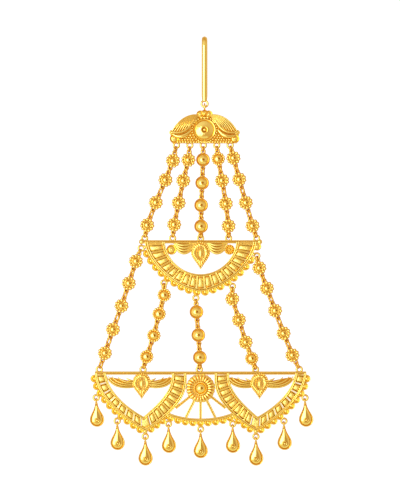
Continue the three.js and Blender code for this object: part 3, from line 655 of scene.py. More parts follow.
# %% Crown: ribbons and lobes
RIBBON, CRESCENT = 0.34, 0.68


def crown_ribbons(work, side):
    """The upper ribbon runs from the finial to the tip; the lower one is a full crescent below it."""
    upper = bezier((3.3, 3.2), (4.9, 0.5), (6.4, -1.4), (10.4, -0.85))
    lower = bezier((4.3, 0.15), (5.6, -2.15), (8.3, -2.75), (10.2, -1.4))
    s = np.linspace(0, 1, 32)
    ribbon = RIBBON * np.sin(np.pi * (0.12 + 0.8 * s)) ** 0.4
    crescent = CRESCENT * np.sin(np.pi * (0.06 + 0.9 * s)) ** 0.8
    wire(work, mirror(upper(s), side) + CROWN, ribbon, 12, height=1.0)
    wire(work, mirror(lower(s), side) + CROWN, crescent, 14, height=0.85)
    tip = CROWN + [side * (CROWN_HALF - 0.4), -0.85]
    ball(work, tip, 0.5, 0.7, 8, 14)
    ring(work, [*tip, 0.6], 0.62, 0.2)


def crown_lobe(work, side):
    """End lobe: height 0.5 + a dome in the middle + a rolled rim, with a groove between them."""
    centre = CROWN + [side * (CROWN_HALF - 1.25), -CROWN_FOOT + 1.5]
    shares = np.linspace(0, 1, 16)
    heights = 0.5 + 0.5 * hump(shares, 0, 0.42) + 0.36 * hump(shares, 0.86, 0.1) - 0.3 * (shares > EDGE_SHARE)
    # Painted shade in the groove between dome and rim.
    groove = 0.95 * hump(shares, 0.66, 0.1)
    relief(work, circle(1.5, 40, centre), centre, shares, heights, -0.44, hollow_shade=groove)


print("widest part of a crescent, mm:", 2 * CRESCENT)

# %% [markdown]
# ## The crown's granules
#
# The space between the crescents and the foot is filled with granules. A particle system could scatter them,
# but a goldsmith sets them in rows by hand, so a slanted grid places them, each row shifted by half a step.
# A line of heights keeps them below the crescent, and a circle keeps them off the dish. Larger granules
# stand in one row along the foot.

# %% Crown: granules
FIELD_STEP, FIELD_RISE, FIELD_END, DISH_CLEAR = 0.84, 0.72, 8.3, 4.35
ROOF_U = [0.8, 3.0, 3.6, 4.6, 5.6, 7.0, 8.6]
ROOF_V = [-3.2, -2.6, 0.6, 0.2, -2.2, -3.1, -3.1]


def field_places():
    """Slanted grid: u = 0.35 + 0.84 i, half a step more in odd rows; v rises by 0.72 for each row."""
    i, j = np.meshgrid(np.arange(14), np.arange(8), indexing="ij")
    u = 0.35 + FIELD_STEP * i + 0.42 * (j % 2)
    v = -CROWN_FOOT + 1.15 + FIELD_RISE * j
    inside = (v < np.interp(u, ROOF_U, ROOF_V)) & (np.hypot(u, v) > DISH_CLEAR) & (u < FIELD_END)
    return np.stack([u, v], -1)[inside]


def crown_field(work, side):
    """Granules of the field on one side, and the larger ones along the foot."""
    for place in field_places():
        granule(work, mirror(place, side) + CROWN, 0.42, 0.46)
    for u in np.linspace(0.0, 8.6, 11)[side > 0:]:
        granule(work, CROWN + [side * u, -CROWN_FOOT + 0.4], 0.48, 0.42)


print("granules in the field on one side:", len(field_places()))

# %% [markdown]
# ## The crown's dish
#
# The round dish in the middle looks turned: it rises as a low cone from a groove inside the rim to a
# small ring, in which one granule sits. The groove and the middle round the granule are painted dark as
# shade. Blender's Screw modifier could spin it from a profile. Here its shares of the radius and its heights
# are that profile. Sixteen very faint rays, a cosine of the angle, break the reflection up a little, as
# polishing by hand does. A circle of granules frames the dish.

# %% Crown: dish
DISH, DISH_RIM, DISH_TOP = 3.1, 0.45, 1.5
DISH_SHARES = np.array([0, 0.12, 0.2, 0.26, 0.33, 0.45, 0.6, 0.75, 0.83, 0.87, 0.91, 0.95, 0.98, 1.0])
DISH_HEIGHTS = np.array([1.3, 1.3, 1.32, 1.4, 1.42, 1.31, 1.1, 0.86, 0.7, 0.86, 1.06, 1.08, 0.96, 0.6])


def crown_dish(work):
    """The turned profile, plus 0.012 cos 16 a in the middle of the cone."""
    rays = np.cos(16 * np.linspace(0, 2 * np.pi, 96, endpoint=False)) * hump(DISH_SHARES[:, None], 0.55, 0.2)
    # Painted shade in the groove, round the granule and in a ring beside it.
    hollow_shade = (0.85 * hump(DISH_SHARES, 0.85, 0.025) + 1.1 * (DISH_SHARES < 0.22)
              + 0.6 * hump(DISH_SHARES, 0.26, 0.05))
    outline = circle(DISH + DISH_RIM, 96, CROWN)
    relief(work, outline, CROWN, DISH_SHARES, DISH_HEIGHTS[:, None] + 0.012 * rays, 0, hollow_shade=hollow_shade)
    ball(work, CROWN, 0.52, DISH_TOP, 10, 20)
    for place in circle(3.98, 30, CROWN):
        granule(work, place, 0.36, 0.6)


print("dish with its rim, mm across:", 2 * (DISH + DISH_RIM))

# %% [markdown]
# ## The crown's finial
#
# Above the dish three domed lobes stand like a clover leaf, with granules between them, and carry the bail
# that hangs in the hook's eye. The bail is turned square to the eye, because two rings that hold each other
# always come to rest so. Each lobe is one relief, since its dome, groove and rim are all turned forms.


# %% Crown: finial
def domed_lobe(work, centre, radius, height):
    """Height + 0.42 in the middle + 0.26 at the rolled rim, and a groove painted dark as shade between them.
    """
    shares = np.linspace(0, 1, 14)
    heights = (height + 0.42 * hump(shares, 0, 0.42) + 0.26 * hump(shares, 0.84, 0.1)
               - 0.3 * (shares > EDGE_SHARE))
    groove = 0.95 * hump(shares, 0.62, 0.1)
    relief(work, circle(radius, 30, centre), centre, shares, heights, -0.35, hollow_shade=groove)


def crown_finial(work):
    """Three lobes, four granules and the bail, a ring in the plane square to the viewer."""
    top = HINGE - CROWN[1] - BAIL - BAIL_WIRE - 0.83
    shoulder = CROWN_TOP - 0.05
    for centre, radius in (((-1.35, shoulder), 1.3), ((1.35, shoulder), 1.3), ((0, top), 1.15)):
        domed_lobe(work, CROWN + centre, radius, 0.5)
    for u, rise in ((0, 0.3), (0, -1.15), (-1.0, -1.1), (1.0, -1.1)):
        ball(work, CROWN + (u, CROWN_TOP + rise), 0.5, 0.85, 8, 14)
    ring(work, (0, HINGE), BAIL, BAIL_WIRE, (1, 0, 0), steps=28, sides=10)


print("bail, mm across outside:", 2 * (BAIL + BAIL_WIRE))

# %% [markdown]
# ## The crown put together
#
# On the real jewel the parts are cast in one or soldered. Here they are gathered in one Work and become one
# mesh, because nothing on the crown moves against anything else.


# %% Crown: put together
def make_crown():
    """Plate, dish and finial once; feathers, ribbons, lobe and granules on both sides; five eyes."""
    work = Work()
    crown_plate(work)
    crown_dish(work)
    crown_finial(work)
    for side in (-1, 1):
        crown_feathers(work, side)
        crown_ribbons(work, side)
        crown_lobe(work, side)
        crown_field(work, side)
    for place in CROWN_EYES:
        ring_eye(work, place)
    return work.finish("winged_crown", ["crown"], "pendant", CAST)


make_crown()

# %% [markdown]
# ## Rims and cells
#
# Both plates are built alike. Two double ridges follow the edges of a band, frosted pads stand between them
# in sunk trays with a polished bar on each side, and between neighbouring cells the plate is pierced. An
# Array modifier along a curve could repeat one cell, but it would keep its width. Laid between two lines by
# shares of their length, the cells widen and narrow with the band, as on the real plate.

# %% Rims and cells
PAD_SHARE, PAD_INSET, BAR_REACH = 0.43, 0.015, 0.03


def double_rim(work, outer, inner, shares, near, far, gauge):
    """Flat metal between two lines of the band, and two wires that lie along it."""
    flat = [between(outer, inner, share)(shares) for share in (near, far)]
    # The flat between the two wires is painted dark as shade.
    strip(work, *flat, 0.15, -0.5, hollow_shade=0.87)
    for part in (0.2, 0.8):
        line = between(outer, inner, near + (far - near) * part)
        wire(work, line(shares), gauge, 10, flat=1.3, height=0.42, deep=0.7)


def cell(work, outer, inner, start, end, near, far):
    """A sunk tray with a frosted pad in it: height (1 - |a|^4)(1 - |b|^4) across and along, from -1 to 1."""
    s = np.linspace(start, end, 9)
    tray = [between(outer, inner, share)(s) for share in (near, far)]
    # The sunk tray is painted dark as shade.
    strip(work, *tray, 0.2, -0.46, hollow_shade=0.9)
    a = np.linspace(-1, 1, 9)
    rise = (1 - np.abs(a) ** 4)[None] * (1 - np.abs(a) ** 4)[:, None]
    s = start + (end - start) * (0.5 + PAD_SHARE * a)
    pad = [between(outer, inner, share)(s) for share in (near + PAD_INSET, far - PAD_INSET)]
    # The pad is painted darker as shade towards its edges.
    strip(work, *pad, 0.25 + 0.5 * rise, -0.4, 9, frost=rise, hollow_shade=0.7 * (1 - rise) ** 2)
    for place in (start, end):
        bar_ends = [between(outer, inner, share)(place) for share in (near - BAR_REACH, far + BAR_REACH)]
        wire(work, np.linspace(*bar_ends, 5), 0.17, 12, flat=1.4, height=0.5, deep=0.5)


def cells(work, outer, inner, start, end, count, near, far, gap):
    """A row of cells of equal pitch; the gap is the share of the pitch that is pierced at either end."""
    pitch = (end - start) / count
    for i in range(count):
        first = start + pitch * i
        cell(work, outer, inner, first + pitch * gap, first + pitch * (1 - gap), near, far)


print("a pad fills", 2 * PAD_SHARE, "of the length of its tray")

# %% [markdown]
# ## Hems and bars
#
# Along the outer edge of each plate runs a hem of small stamped buttons that hang half below the edge: a
# rolled rim, a groove painted dark as shade, and a pearl in the middle. One profile serves them all, and each
# outline is an ellipse as wide as its place on the line. The bar along the top of a plate is two wires with a
# sunk flat between them, painted dark as shade, which shows as one dark line.

# %% Hems and bars
SCALLOP, BUTTON_RISE, BUTTON_DEPTH, BUTTON_OVERLAP = 1.75, 1.3, 1.28, 1.04
BUTTON_SHARES = np.array([0, 0.12, 0.25, 0.37, 0.47, 0.55, 0.64, 0.72, 0.8, 0.88, 0.95, 1.0])
BUTTON_HEIGHTS = np.array([0.6, 0.58, 0.5, 0.36, 0.16, 0.02, 0.04, 0.2, 0.34, 0.36, 0.24, 0.0])
BAR_HALF = 0.5


def hem(work, line, start, end, count):
    """Button i: centre + cos t (half its pitch) + sin t (its depth, square to the line)."""
    pitch = (end - start) / count
    t = np.linspace(0, 2 * np.pi, 28, endpoint=False)[:, None]
    # Painted shade in each button's groove.
    groove = 0.9 * hump(BUTTON_SHARES, 0.59, 0.07)
    for i in range(count):
        first, last = line(start + pitch * i), line(start + pitch * (i + 1))
        across = (last - first) / 2
        out = np.array([across[1], -across[0]]) / np.hypot(*across)
        centre = (first + last) / 2 + out * (SCALLOP - BUTTON_RISE)
        outline = centre + across * np.cos(t) * BUTTON_OVERLAP + out * BUTTON_DEPTH * np.sin(t)
        relief(work, outline, centre, BUTTON_SHARES, BUTTON_HEIGHTS, -0.35, hollow_shade=groove)


def plate_bar(work, start, end):
    """The bar along the top: two wires with a sunk flat between them."""
    s = np.linspace(0, 1, 24)[:, None]
    path = np.asarray(start) + s * (np.asarray(end) - np.asarray(start))
    # The sunk flat is painted dark as shade.
    strip(work, path + [0, BAR_HALF * 0.8], path - [0, BAR_HALF * 0.8], 0.2, -0.7, hollow_shade=0.87)
    for side in (-1, 1):
        wire(work, path + [0, side * BAR_HALF * 0.62], 0.23, 10, flat=1.2, height=0.38, deep=0.7)


print("a button hangs below its line by, mm:", round(SCALLOP - BUTTON_RISE + BUTTON_DEPTH, 2))

# %% [markdown]
# ## The half-moon plate: its lines
#
# The outer edge lies between an ellipse and a straight V, so its formula is an ellipse with the sine and
# cosine raised to a power a little over one. The opening is a plain arc. Tracing the edge point by point
# would give the same curve, but it could not be changed with two numbers.

# %% Half-moon: its lines
MOON_HALF, MOON_DEPTH, MOON_FULL = 17.9, 15.8, 1.6
MOON_OPENING, MOON_RISE = 11.5, 1.1
BAR_PAST = 1.0
HEM_EYES = ((0.033, 1.45), (0.276, 2.36), (0.4775, 2.36), (0.69, 2.3), (0.92, 1.45))


def moon_edge(t):
    """(-A sign(c) |c|^p, -D |s|^p) for c = cos t, s = sin t and p = 2 / fullness."""
    c, s, p = np.cos(t), np.sin(t), 2 / MOON_FULL
    return np.stack([-MOON_HALF * np.sign(c) * np.abs(c) ** p, -MOON_DEPTH * np.abs(s) ** p], -1)


def moon_arc(s):
    """An arc of radius 11.5 whose middle lies 1.1 above the bar, from the bar round to the bar."""
    reach = np.arcsin(MOON_RISE / MOON_OPENING)
    angle = reach + (np.pi - 2 * reach) * np.asarray(s)
    return np.stack([-MOON_OPENING * np.cos(angle), MOON_RISE - MOON_OPENING * np.sin(angle)], -1) + MOON


MOON_OUTER = moved(by_length(moon_edge(np.linspace(0, np.pi, 601))), MOON)
MOON_TOP_EYES = np.array([[k * MOON_HALF / 2, 1.15] for k in range(-2, 3)]) + MOON
MOON_HEM_EYES = np.array([stand_off(MOON_OUTER, share, stand) for share, stand in HEM_EYES])
print("half-moon plate, mm wide and deep:", 2 * MOON_HALF, MOON_DEPTH)

# %% [markdown]
# ## The half-moon plate: swags and knots
#
# On either side of the leaf hangs a swag, like cloth gathered at both ends, and each ends in a round knot.
# A cloth simulation would be wasted on cast gold this small: four nested hanging curves of swelling wire
# give the folds, and a flat painted dark as shade closes them behind. The two knots differ, a ringed dome on
# the left and a fluted shell on the right. They are only a few pixels wide in the photograph, so twelve
# flutes is a guess.

# %% Half-moon: swags and knots
SWAG_FOLDS, SWAG_DROP, SWAG_WIRE = 4, 4.8, 0.4
KNOT, SHELL_FLUTES = 1.65, 6


def swag(work, side):
    """Fold k is a hanging curve 0.24 k shallower than the lowest one, wired from root to end."""
    root, end = 1.9, MOON_HALF / 2 - 0.4
    middle = (root + end) / 2
    s = np.linspace(0, 1, 24)
    radius = SWAG_WIRE * np.sin(np.pi * (0.12 + 0.76 * s)) ** 0.8
    for k in range(SWAG_FOLDS):
        drop = SWAG_DROP * (1 - 0.24 * k)
        half = (end - root) / 2 * (1 - 0.08 * k)
        line = bezier((middle - half, -0.3), (middle - half * 0.6, -drop), (middle + half * 0.6, -drop),
                      (middle + half, -0.5))
        wire(work, mirror(line(s), side) + MOON, radius, 10, height=0.22 + 0.05 * k)
    hanging = bezier((root, 0), (root + 1.3, -4.6), (end - 1.3, -4.6), (end, -0.4))
    lowest = hanging(np.linspace(0.04, 0.96, 16))
    highest = lowest * [1, 0] + [0, -0.2]
    # The flat behind the folds is painted dark as shade.
    strip(work, mirror(lowest, side) + MOON, mirror(highest, side) + MOON, 0.05, -0.35, hollow_shade=0.86)


def knot(work, side):
    """On the left a ringed dome, on the right a shell whose flutes are |cos 6 a|."""
    centre = MOON + [side * (MOON_HALF / 2 + 0.3), -2.5]
    shares = np.linspace(0, 1, 16)
    wide = shares[:, None]
    # Painted shade: in the groove of the left dome, and between the flutes of the right shell.
    if side < 0:
        heights = (0.36 + 0.55 * hump(shares, 0, 0.38) + 0.36 * hump(shares, 0.85, 0.1)
                   - 0.3 * (shares > EDGE_SHARE))
        hollow_shade = 1.0 * hump(shares, 0.62, 0.11)
    else:
        flutes = np.abs(np.cos(SHELL_FLUTES * np.linspace(0, 2 * np.pi, 48, endpoint=False)))
        heights = 0.3 + 0.42 * flutes * hump(wide, 0.7, 0.28) + 0.5 * hump(wide, 0, 0.2)
        hollow_shade = (1 - flutes) * hump(wide, 0.7, 0.3) + 0.9 * hump(wide, 0.3, 0.08)
    relief(work, circle(KNOT, 48, centre), centre, shares, heights, -0.45, hollow_shade=hollow_shade)


print("folds in a swag:", SWAG_FOLDS)

# %% [markdown]
# ## The half-moon plate put together
#
# Rims, cells, hem, bar, leaf, swags and knots are laid on the same lines, so they meet without fitting. Two
# plain flats close the band where it runs up to the bar. Five ring eyes stand on the bar for the strings
# above, and five hang in the hem for the strings below.

# %% Half-moon: put together
MOON_CELLS = 17
MOON_RIM, MOON_INNER_RIM = 0.17, 0.86
MOON_BAND = (0.16, 0.87)


def make_half_moon():
    """Two double rims with seventeen cells between them, and all that hangs from the bar."""
    work = Work()
    s = np.linspace(0.0, 1.0, 90)
    double_rim(work, MOON_OUTER, moon_arc, s, 0.0, MOON_RIM, 0.23)
    double_rim(work, MOON_OUTER, moon_arc, s, MOON_INNER_RIM, 1.0, 0.21)
    cells(work, MOON_OUTER, moon_arc, 0.02, 0.98, MOON_CELLS, *MOON_BAND, 0.07)
    for start, end in ((0.0, 0.024), (0.976, 1.0)):
        s = np.linspace(start, end, 3)
        flat = [between(MOON_OUTER, moon_arc, share)(s) for share in MOON_BAND]
        # The flats are half frosted and lightly painted with shade.
        strip(work, *flat, 0.35, -0.46, frost=0.5, hollow_shade=0.4)
    hem(work, MOON_OUTER, 0.05, 0.905, 17)
    plate_bar(work, MOON + [-MOON_HALF - BAR_PAST, 0], MOON + [MOON_HALF + BAR_PAST, 0])
    leaf(work, 8.8, 2.8, *MOON)
    for side in (-1, 1):
        swag(work, side)
        knot(work, side)
        ball(work, MOON + [side * (MOON_HALF + BAR_PAST), 0], 0.85, 0.0, 8, 16)
    domed_lobe(work, MOON + [MOON_HALF + 0.2, -1.49], 1.35, 0.3)
    for place in (*MOON_TOP_EYES, *MOON_HEM_EYES):
        ring_eye(work, place)
    for end in (0, 4):
        ball(work, stand_off(MOON_OUTER, HEM_EYES[end][0], 0.3), 0.6)
    return work.finish("half_moon_plate", ["half_moon"], "pendant", CAST)


make_half_moon()

# %% [markdown]
# ## The base plate: its lines
#
# Two V-shaped frames hang from one long bar. Each V is two bands that meet at the tip, so it has an outer
# and an inner arm, and every arm an edge and an inside line. All four are drawn for the left frame only,
# because everything on the right is the left one mirrored. A thin arc joins the frames below a sun.

# %% Base plate: its lines
BASE_HALF, ARM, INNER_CORNER, INNER_ARM = 33.8, 3.45, 4.6, 4.6
TIP, TIP_DROP, INNER_TIP, INNER_TIP_DROP = 17.7, 18.5, 18.2, 14.0
ARM_INSIDE, INNER_INSIDE = BASE_HALF - ARM, INNER_CORNER + INNER_ARM
ARC_HALF, ARC_DROP, ARC_RISE, ARC_WIDE = 10.5, 15.2, 2.6, 0.9


def leaning(corner, tip, share):
    """A place at one share of the way from the corner, left of the middle, to the tip."""
    return -corner + (corner - tip) * share


OUTER_EDGE = bezier((-BASE_HALF, 0), (leaning(BASE_HALF, TIP, 0.019), -TIP_DROP * 0.314),
                    (leaning(BASE_HALF, TIP, 0.335), -TIP_DROP * 0.66), (-TIP, -TIP_DROP))
OUTER_INSIDE = bezier((-ARM_INSIDE, 0), (leaning(ARM_INSIDE, INNER_TIP, 0.058), -INNER_TIP_DROP * 0.364),
                      (leaning(ARM_INSIDE, INNER_TIP, 0.428), -INNER_TIP_DROP * 0.729),
                      (-INNER_TIP, -INNER_TIP_DROP))
INNER_EDGE = bezier((-TIP, -TIP_DROP), (leaning(INNER_CORNER, TIP, 0.229), -TIP_DROP * 0.66),
                    (leaning(INNER_CORNER, TIP, -0.076), -TIP_DROP * 0.378), (-INNER_CORNER, 0))
INNER_LINE = bezier((-INNER_TIP, -INNER_TIP_DROP),
                    (leaning(INNER_INSIDE, INNER_TIP, 0.356), -INNER_TIP_DROP * 0.643),
                    (leaning(INNER_INSIDE, INNER_TIP, -0.056), -INNER_TIP_DROP * 0.343), (-INNER_INSIDE, 0))
ARC = bezier((-ARC_HALF, -ARC_DROP + ARC_RISE), (-ARC_HALF * 0.45, -ARC_DROP - 0.05),
             (ARC_HALF * 0.45, -ARC_DROP - 0.05), (ARC_HALF, -ARC_DROP + ARC_RISE))
ARC_FOOT = moved(ARC, np.array([0, -ARC_WIDE]))
print("base plate, mm wide and deep:", 2 * BASE_HALF, TIP_DROP)

# %% [markdown]
# ## The base plate: where the drops hang
#
# A drop hangs between two buttons or from the middle of one, so its eye is placed by the button's number and
# not by a measured place. Four eyes are drawn on the left, one in the middle of the arc, and the left ones
# are mirrored for the right. If the hem changes, the drops follow it.

# %% Base plate: eyes
OUTER_HEM, INNER_HEM, ARC_HEM = (0.02, 0.985, 10), (0.03, 0.405, 4), (0, 1, 9)
DROP_STAND = 2.47
BASE_TOP_EYES = np.array([[x + ROW_SHIFT, 1.15] for x in (-32, -18, 0, 18, 32)]) + BASE


def button_share(index, start, end, count):
    """The middle of button number index on a hem: start + (end - start) (index + 1/2) / count."""
    return start + (end - start) * (index + 0.5) / count


LEFT_DROP_EYES = np.array([
    stand_off(OUTER_EDGE, button_share(2.2, *OUTER_HEM), DROP_STAND - 0.15),
    stand_off(OUTER_EDGE, button_share(6, *OUTER_HEM), DROP_STAND),
    [-TIP, -TIP_DROP - 1.21 - 0.6],
    stand_off(ARC_FOOT, button_share(0, *ARC_HEM), DROP_STAND),
])
MIDDLE_DROP_EYE = stand_off(ARC_FOOT, 0.5, DROP_STAND)
DROP_EYES = BASE + np.concatenate([LEFT_DROP_EYES, [MIDDLE_DROP_EYE], (LEFT_DROP_EYES * [-1, 1])[::-1]])
print("eyes for the drops:", len(DROP_EYES))

# %% [markdown]
# ## The base plate: a V frame
#
# Each arm gets two double rims and a row of cells, seven in the outer arm and eight in the inner one. The
# cells could run on round the tip, but the real plate has one frosted corner piece there, whose edge follows
# the rims of both arms. The buttons of the hem run down the outer edge and round the tip.


# %% Base plate: a V frame
def sided(line, side):
    """The line in the base plate's place, mirrored for the right-hand frame."""
    return lambda s: line(s) * [-side, 1] + BASE


def frame_corner(work, outer, outer_in, inner, inner_in):
    """A frosted corner piece: height 0.4 + 0.3 (1 - s^8) inside the edge between the rims of both arms."""
    corner = np.array([between(outer, outer_in, 0.2)(0.955), between(outer, outer_in, 0.2)(1.0),
                       between(inner, inner_in, 0.17)(0.09), between(inner, inner_in, 0.84)(0.09),
                       between(outer, outer_in, 0.81)(1.0), between(outer, outer_in, 0.8)(0.955)])
    edge = by_length(np.concatenate([corner, corner[:1]]))(np.linspace(0, 1, 36, endpoint=False))
    shares = np.linspace(0, 1, 6)
    flat_top = 1 - shares**8
    # The piece is painted darker as shade at its edge.
    relief(work, edge, corner.mean(0), shares, 0.4 + 0.3 * flat_top, -0.42, frost=flat_top,
           hollow_shade=0.5 * shares**8)


def v_frame(work, side):
    """Two rims and a row of cells for each arm, and the corner piece at the tip."""
    outer, outer_in = sided(OUTER_EDGE, side), sided(OUTER_INSIDE, side)
    inner, inner_in = sided(INNER_EDGE, side), sided(INNER_LINE, side)
    s = np.linspace(0, 1, 50)
    for first, second, far, near in ((outer, outer_in, 0.2, 0.8), (inner, inner_in, 0.17, 0.84)):
        double_rim(work, first, second, s, 0.0, far, 0.22)
        double_rim(work, first, second, s, near, 1.0, 0.21)
    cells(work, outer, outer_in, 0.02, 0.95, 7, 0.19, 0.81, 0.09)
    cells(work, inner, inner_in, 0.1, 0.97, 8, 0.16, 0.85, 0.07)
    frame_corner(work, outer, outer_in, inner, inner_in)


def frame_hem(work, side):
    """Buttons down the outer edge and round the tip; the right-hand lines are walked backwards."""
    for line, (start, end, count) in ((OUTER_EDGE, OUTER_HEM), (INNER_EDGE, INNER_HEM)):
        placed = sided(line, side)
        if side < 0:
            hem(work, placed, start, end, count)
        else:
            hem(work, backwards(placed), 1 - end, 1 - start, count)


print("buttons on one V frame:", OUTER_HEM[2] + INNER_HEM[2])

# %% [markdown]
# ## The base plate: wings
#
# A pair of wings spreads from each leaf, five feathers to a wing. They are nested like the folds of the swag,
# but each is shorter than the one below it and curls up at its end. Tapered wires give the rounded feathers,
# and a flat behind them closes the gaps, so that no light comes through. It is painted dark as shade.

# %% Base plate: wings
FRAME_MIDDLE = 18.85
WING_FEATHERS, WING_WIRE = 5, 0.29
SHORT_WING, LONG_WING = 10.9, 11.6


def wing(work, side, hand):
    """Feather k lies above feather k - 1, is shorter, and curls up at its end."""
    centre = BASE + [side * FRAME_MIDDLE, 0]
    far = LONG_WING if hand * side > 0 else SHORT_WING
    s = np.linspace(0, 1, 28)
    radius = WING_WIRE * np.sin(np.pi * (0.12 + 0.78 * s)) ** 0.8
    for k in range(WING_FEATHERS):
        root = np.array([1.8 + 0.1 * k, -4.45 + 0.5 * k])
        tip = np.array([far * (1 - 0.02 * k - 0.03 * k**2) - 0.25, -0.85 - 0.045 * k**2])
        reach = (tip - root)[0]
        line = bezier(root, root + [reach * 0.38, -0.5 + 0.08 * k],
                      tip + [-reach * 0.16, -3.9 + 0.85 * k], tip)
        wire(work, mirror(line(s), hand) + centre, radius, 10, flat=1.2, height=0.15 + 0.05 * k, deep=0.6)
    upper = bezier((1.5, -2.7), (far * 0.35, -2.7), (far * 0.5, -1.9), (far * 0.9, -1.3))
    lower = bezier((1.5, -4.4), (far * 0.42, -4.9), (far * 0.85, -5.0), (far * 0.95, -1.5))
    s = np.linspace(0.0, 0.95, 16)
    flat = [mirror(line(s), hand) + centre for line in (upper, lower)]
    # The flat behind the feathers is painted dark as shade.
    strip(work, *flat, 0.0, -0.35, hollow_shade=0.86)


print("feathers in the four wings:", 4 * WING_FEATHERS)

# %% [markdown]
# ## The base plate: sun, rays and arc
#
# Between the frames hangs a sun with twenty-four petals round a ringed boss. It could be stamped petal by
# petal, but one table of heights holds them all: a cosine of the angle times a hump two thirds of the way
# out. Five double rays run down from it to a thin arc with a hem of its own, and tie the two frames
# together.

# %% Base plate: sun, rays and arc
SUN, SUN_DROP, SUN_AROUND, SUN_FLUTES = 4.67, 4.86, 240, 12
RAY_ANGLES = np.radians([-51.5, -26.8, 0, 26.8, 51.5])


def sun(work):
    """Twenty-four petals |cos 12 a|^0.7, two rings as humps of the share, and a boss 1 - (s / 0.34)^2."""
    centre = BASE + [0, -SUN_DROP]
    angle = np.linspace(0, 2 * np.pi, SUN_AROUND, endpoint=False)
    petal = np.abs(np.cos(SUN_FLUTES * angle)) ** 0.7
    outline = centre + circle(1.0, SUN_AROUND) * (SUN * (1 - 0.05 * (1 - petal)))[:, None]
    shares = np.linspace(0, 1, 30)
    wide = shares[:, None]
    heights = (0.4 + 0.3 * np.sqrt(1 - 0.9 * wide**2) + 0.4 * petal * hump(wide, 0.74, 0.18)
               + 0.42 * hump(wide, 0.43, 0.05) + 0.7 * np.maximum(1 - (wide / 0.34) ** 2, 0)
               - 0.35 * (wide > 0.98))
    # Painted shade between the petals, in a ring outside the boss, at the boss's edge and in the middle.
    hollow_shade = (1.2 * (1 - petal) * hump(wide, 0.74, 0.22) + hump(wide, 0.51, 0.03) + hump(wide, 0.35, 0.035)
              + hump(wide, 0, 0.05))
    relief(work, outline, centre, shares, heights, -0.55, hollow_shade=hollow_shade)
    prick(work, centre + [0.3, 0.05], 1.43)


def rays(work):
    """Two wires side by side on a flat painted dark as shade, from inside the sun's rim to the arc."""
    centre = BASE + [0, -SUN_DROP]
    for angle in RAY_ANGLES:
        way = np.array([np.sin(angle), -np.cos(angle)])
        aside = np.array([way[1], -way[0]])
        length = ARC_DROP - SUN_DROP + 0.36 - 0.5 * abs(angle) / RAY_ANGLES[-1]
        path = centre + np.linspace(SUN * 0.85, length, 8)[:, None] * way
        strip(work, path - aside * 0.3, path + aside * 0.3, 0.1, -0.35, hollow_shade=0.8)
        for off in (-0.26, 0.26):
            wire(work, path + aside * off, 0.19, 8, height=0.18)


def arc(work):
    """A flat between the arc and its foot, two wires along it, and the hem."""
    s = np.linspace(0, 1, 40)
    top, foot = moved(ARC, BASE), moved(ARC_FOOT, BASE)
    # The flat is painted dark as shade.
    strip(work, top(s), foot(s), 0.3, -0.45, hollow_shade=0.8)
    for share in (0.2, 0.75):
        wire(work, between(top, foot, share)(s), 0.24, 10, height=0.34)
    hem(work, foot, *ARC_HEM)


print("petals round the sun:", 2 * SUN_FLUTES)

# %% [markdown]
# ## The base plate put together
#
# The bar comes first, then the sun with its rays and arc, and then both V frames with their leaves and wings.
# It is the widest piece and has the most shells. It stays one mesh, because it is one plate that hangs from
# its five upper eyes.


# %% Base plate: put together
def make_base_plate():
    """One bar, one sun, two frames, five eyes above and nine below."""
    work = Work()
    plate_bar(work, BASE + [-BASE_HALF, 0], BASE + [BASE_HALF, 0])
    sun(work)
    rays(work)
    arc(work)
    for side in (-1, 1):
        v_frame(work, side)
        frame_hem(work, side)
        leaf(work, 8.2, 2.8, *(BASE + [side * FRAME_MIDDLE, 0]))
        wing(work, side, -1)
        wing(work, side, 1)
        ball(work, BASE + [side * TIP, -TIP_DROP - 0.15], 0.78, 0.0, 8, 16)
    for place in (*BASE_TOP_EYES, *DROP_EYES):
        ring_eye(work, place)
    return work.finish("base_plate_work", ["base_plate"], "pendant", CAST)


make_base_plate()

# %% [markdown]
# ## Beads
#
# Three stamped beads make up the strings: a rosette with eleven petals round a ringed boss, a plain low dome
# with a rolled rim, and a pearled one, whose dome fills a rim of fourteen small granules. A bead is about
# thirteen pixels wide in the photograph, so the counts of petals and granules are guesses. All have a
# pin-prick in the middle, painted dark as shade, and their rims are painted darker as shade too. One bead
# could be made and copied as an object, but each string is one piece, so a bead is a function that adds its
# shells to the string's Work, turned the way the string runs.

# %% Bead kinds
BEAD, DISHED_BEAD = 2.15, 2.2
PETALS, PEARLS = 11, 14
BEAD_BACK = -0.5
ROSETTE_SHARES = np.array([0, 0.2, 0.4, 0.55, 0.7, 0.85, 0.95, 1.0])
ROSETTE_HEIGHTS = np.array([0.3, 0.28, 0.2, 0.12, 0.14, 0.22, 0.18, 0.0])
DISHED_SHARES = np.array([0, 0.05, 0.1, 0.15, 0.22, 0.33, 0.45, 0.56, 0.66, 0.72, 0.79, 0.87, 0.94, 1.0])
DISHED_HEIGHTS = np.array([0.62, 0.68, 0.74, 0.78, 0.77, 0.69, 0.55, 0.38, 0.18, 0.14, 0.3, 0.36, 0.24, -0.1])
PEARLED_SHARES = np.array([0, 0.5, 0.7, 0.8, 0.9, 1.0])
PEARLED_HEIGHTS = np.array([0.2, 0.2, 0.14, 0.14, 0.14, 0.0])


def rosette(work, centre, turn):
    """A dished disc, a granule for each petal at its rim, a ring of wire, and a dome in the middle."""
    # The disc is painted darker as shade towards its rim.
    relief(work, circle(2.05, 44, centre, turn), centre, ROSETTE_SHARES, ROSETTE_HEIGHTS, BEAD_BACK,
           hollow_shade=0.2 + 0.6 * ROSETTE_SHARES)
    for petal in circle(1.8, PETALS, centre, turn):
        granule(work, petal, 0.55, 0.16, 0.8)
    ring(work, [*centre, 0.3], 1.22, 0.16, steps=28)
    ball(work, centre, 1.0, 0.25, 12, 24, 0.75)
    prick(work, centre + [0.3, 0.04], 1.0, 0.32)


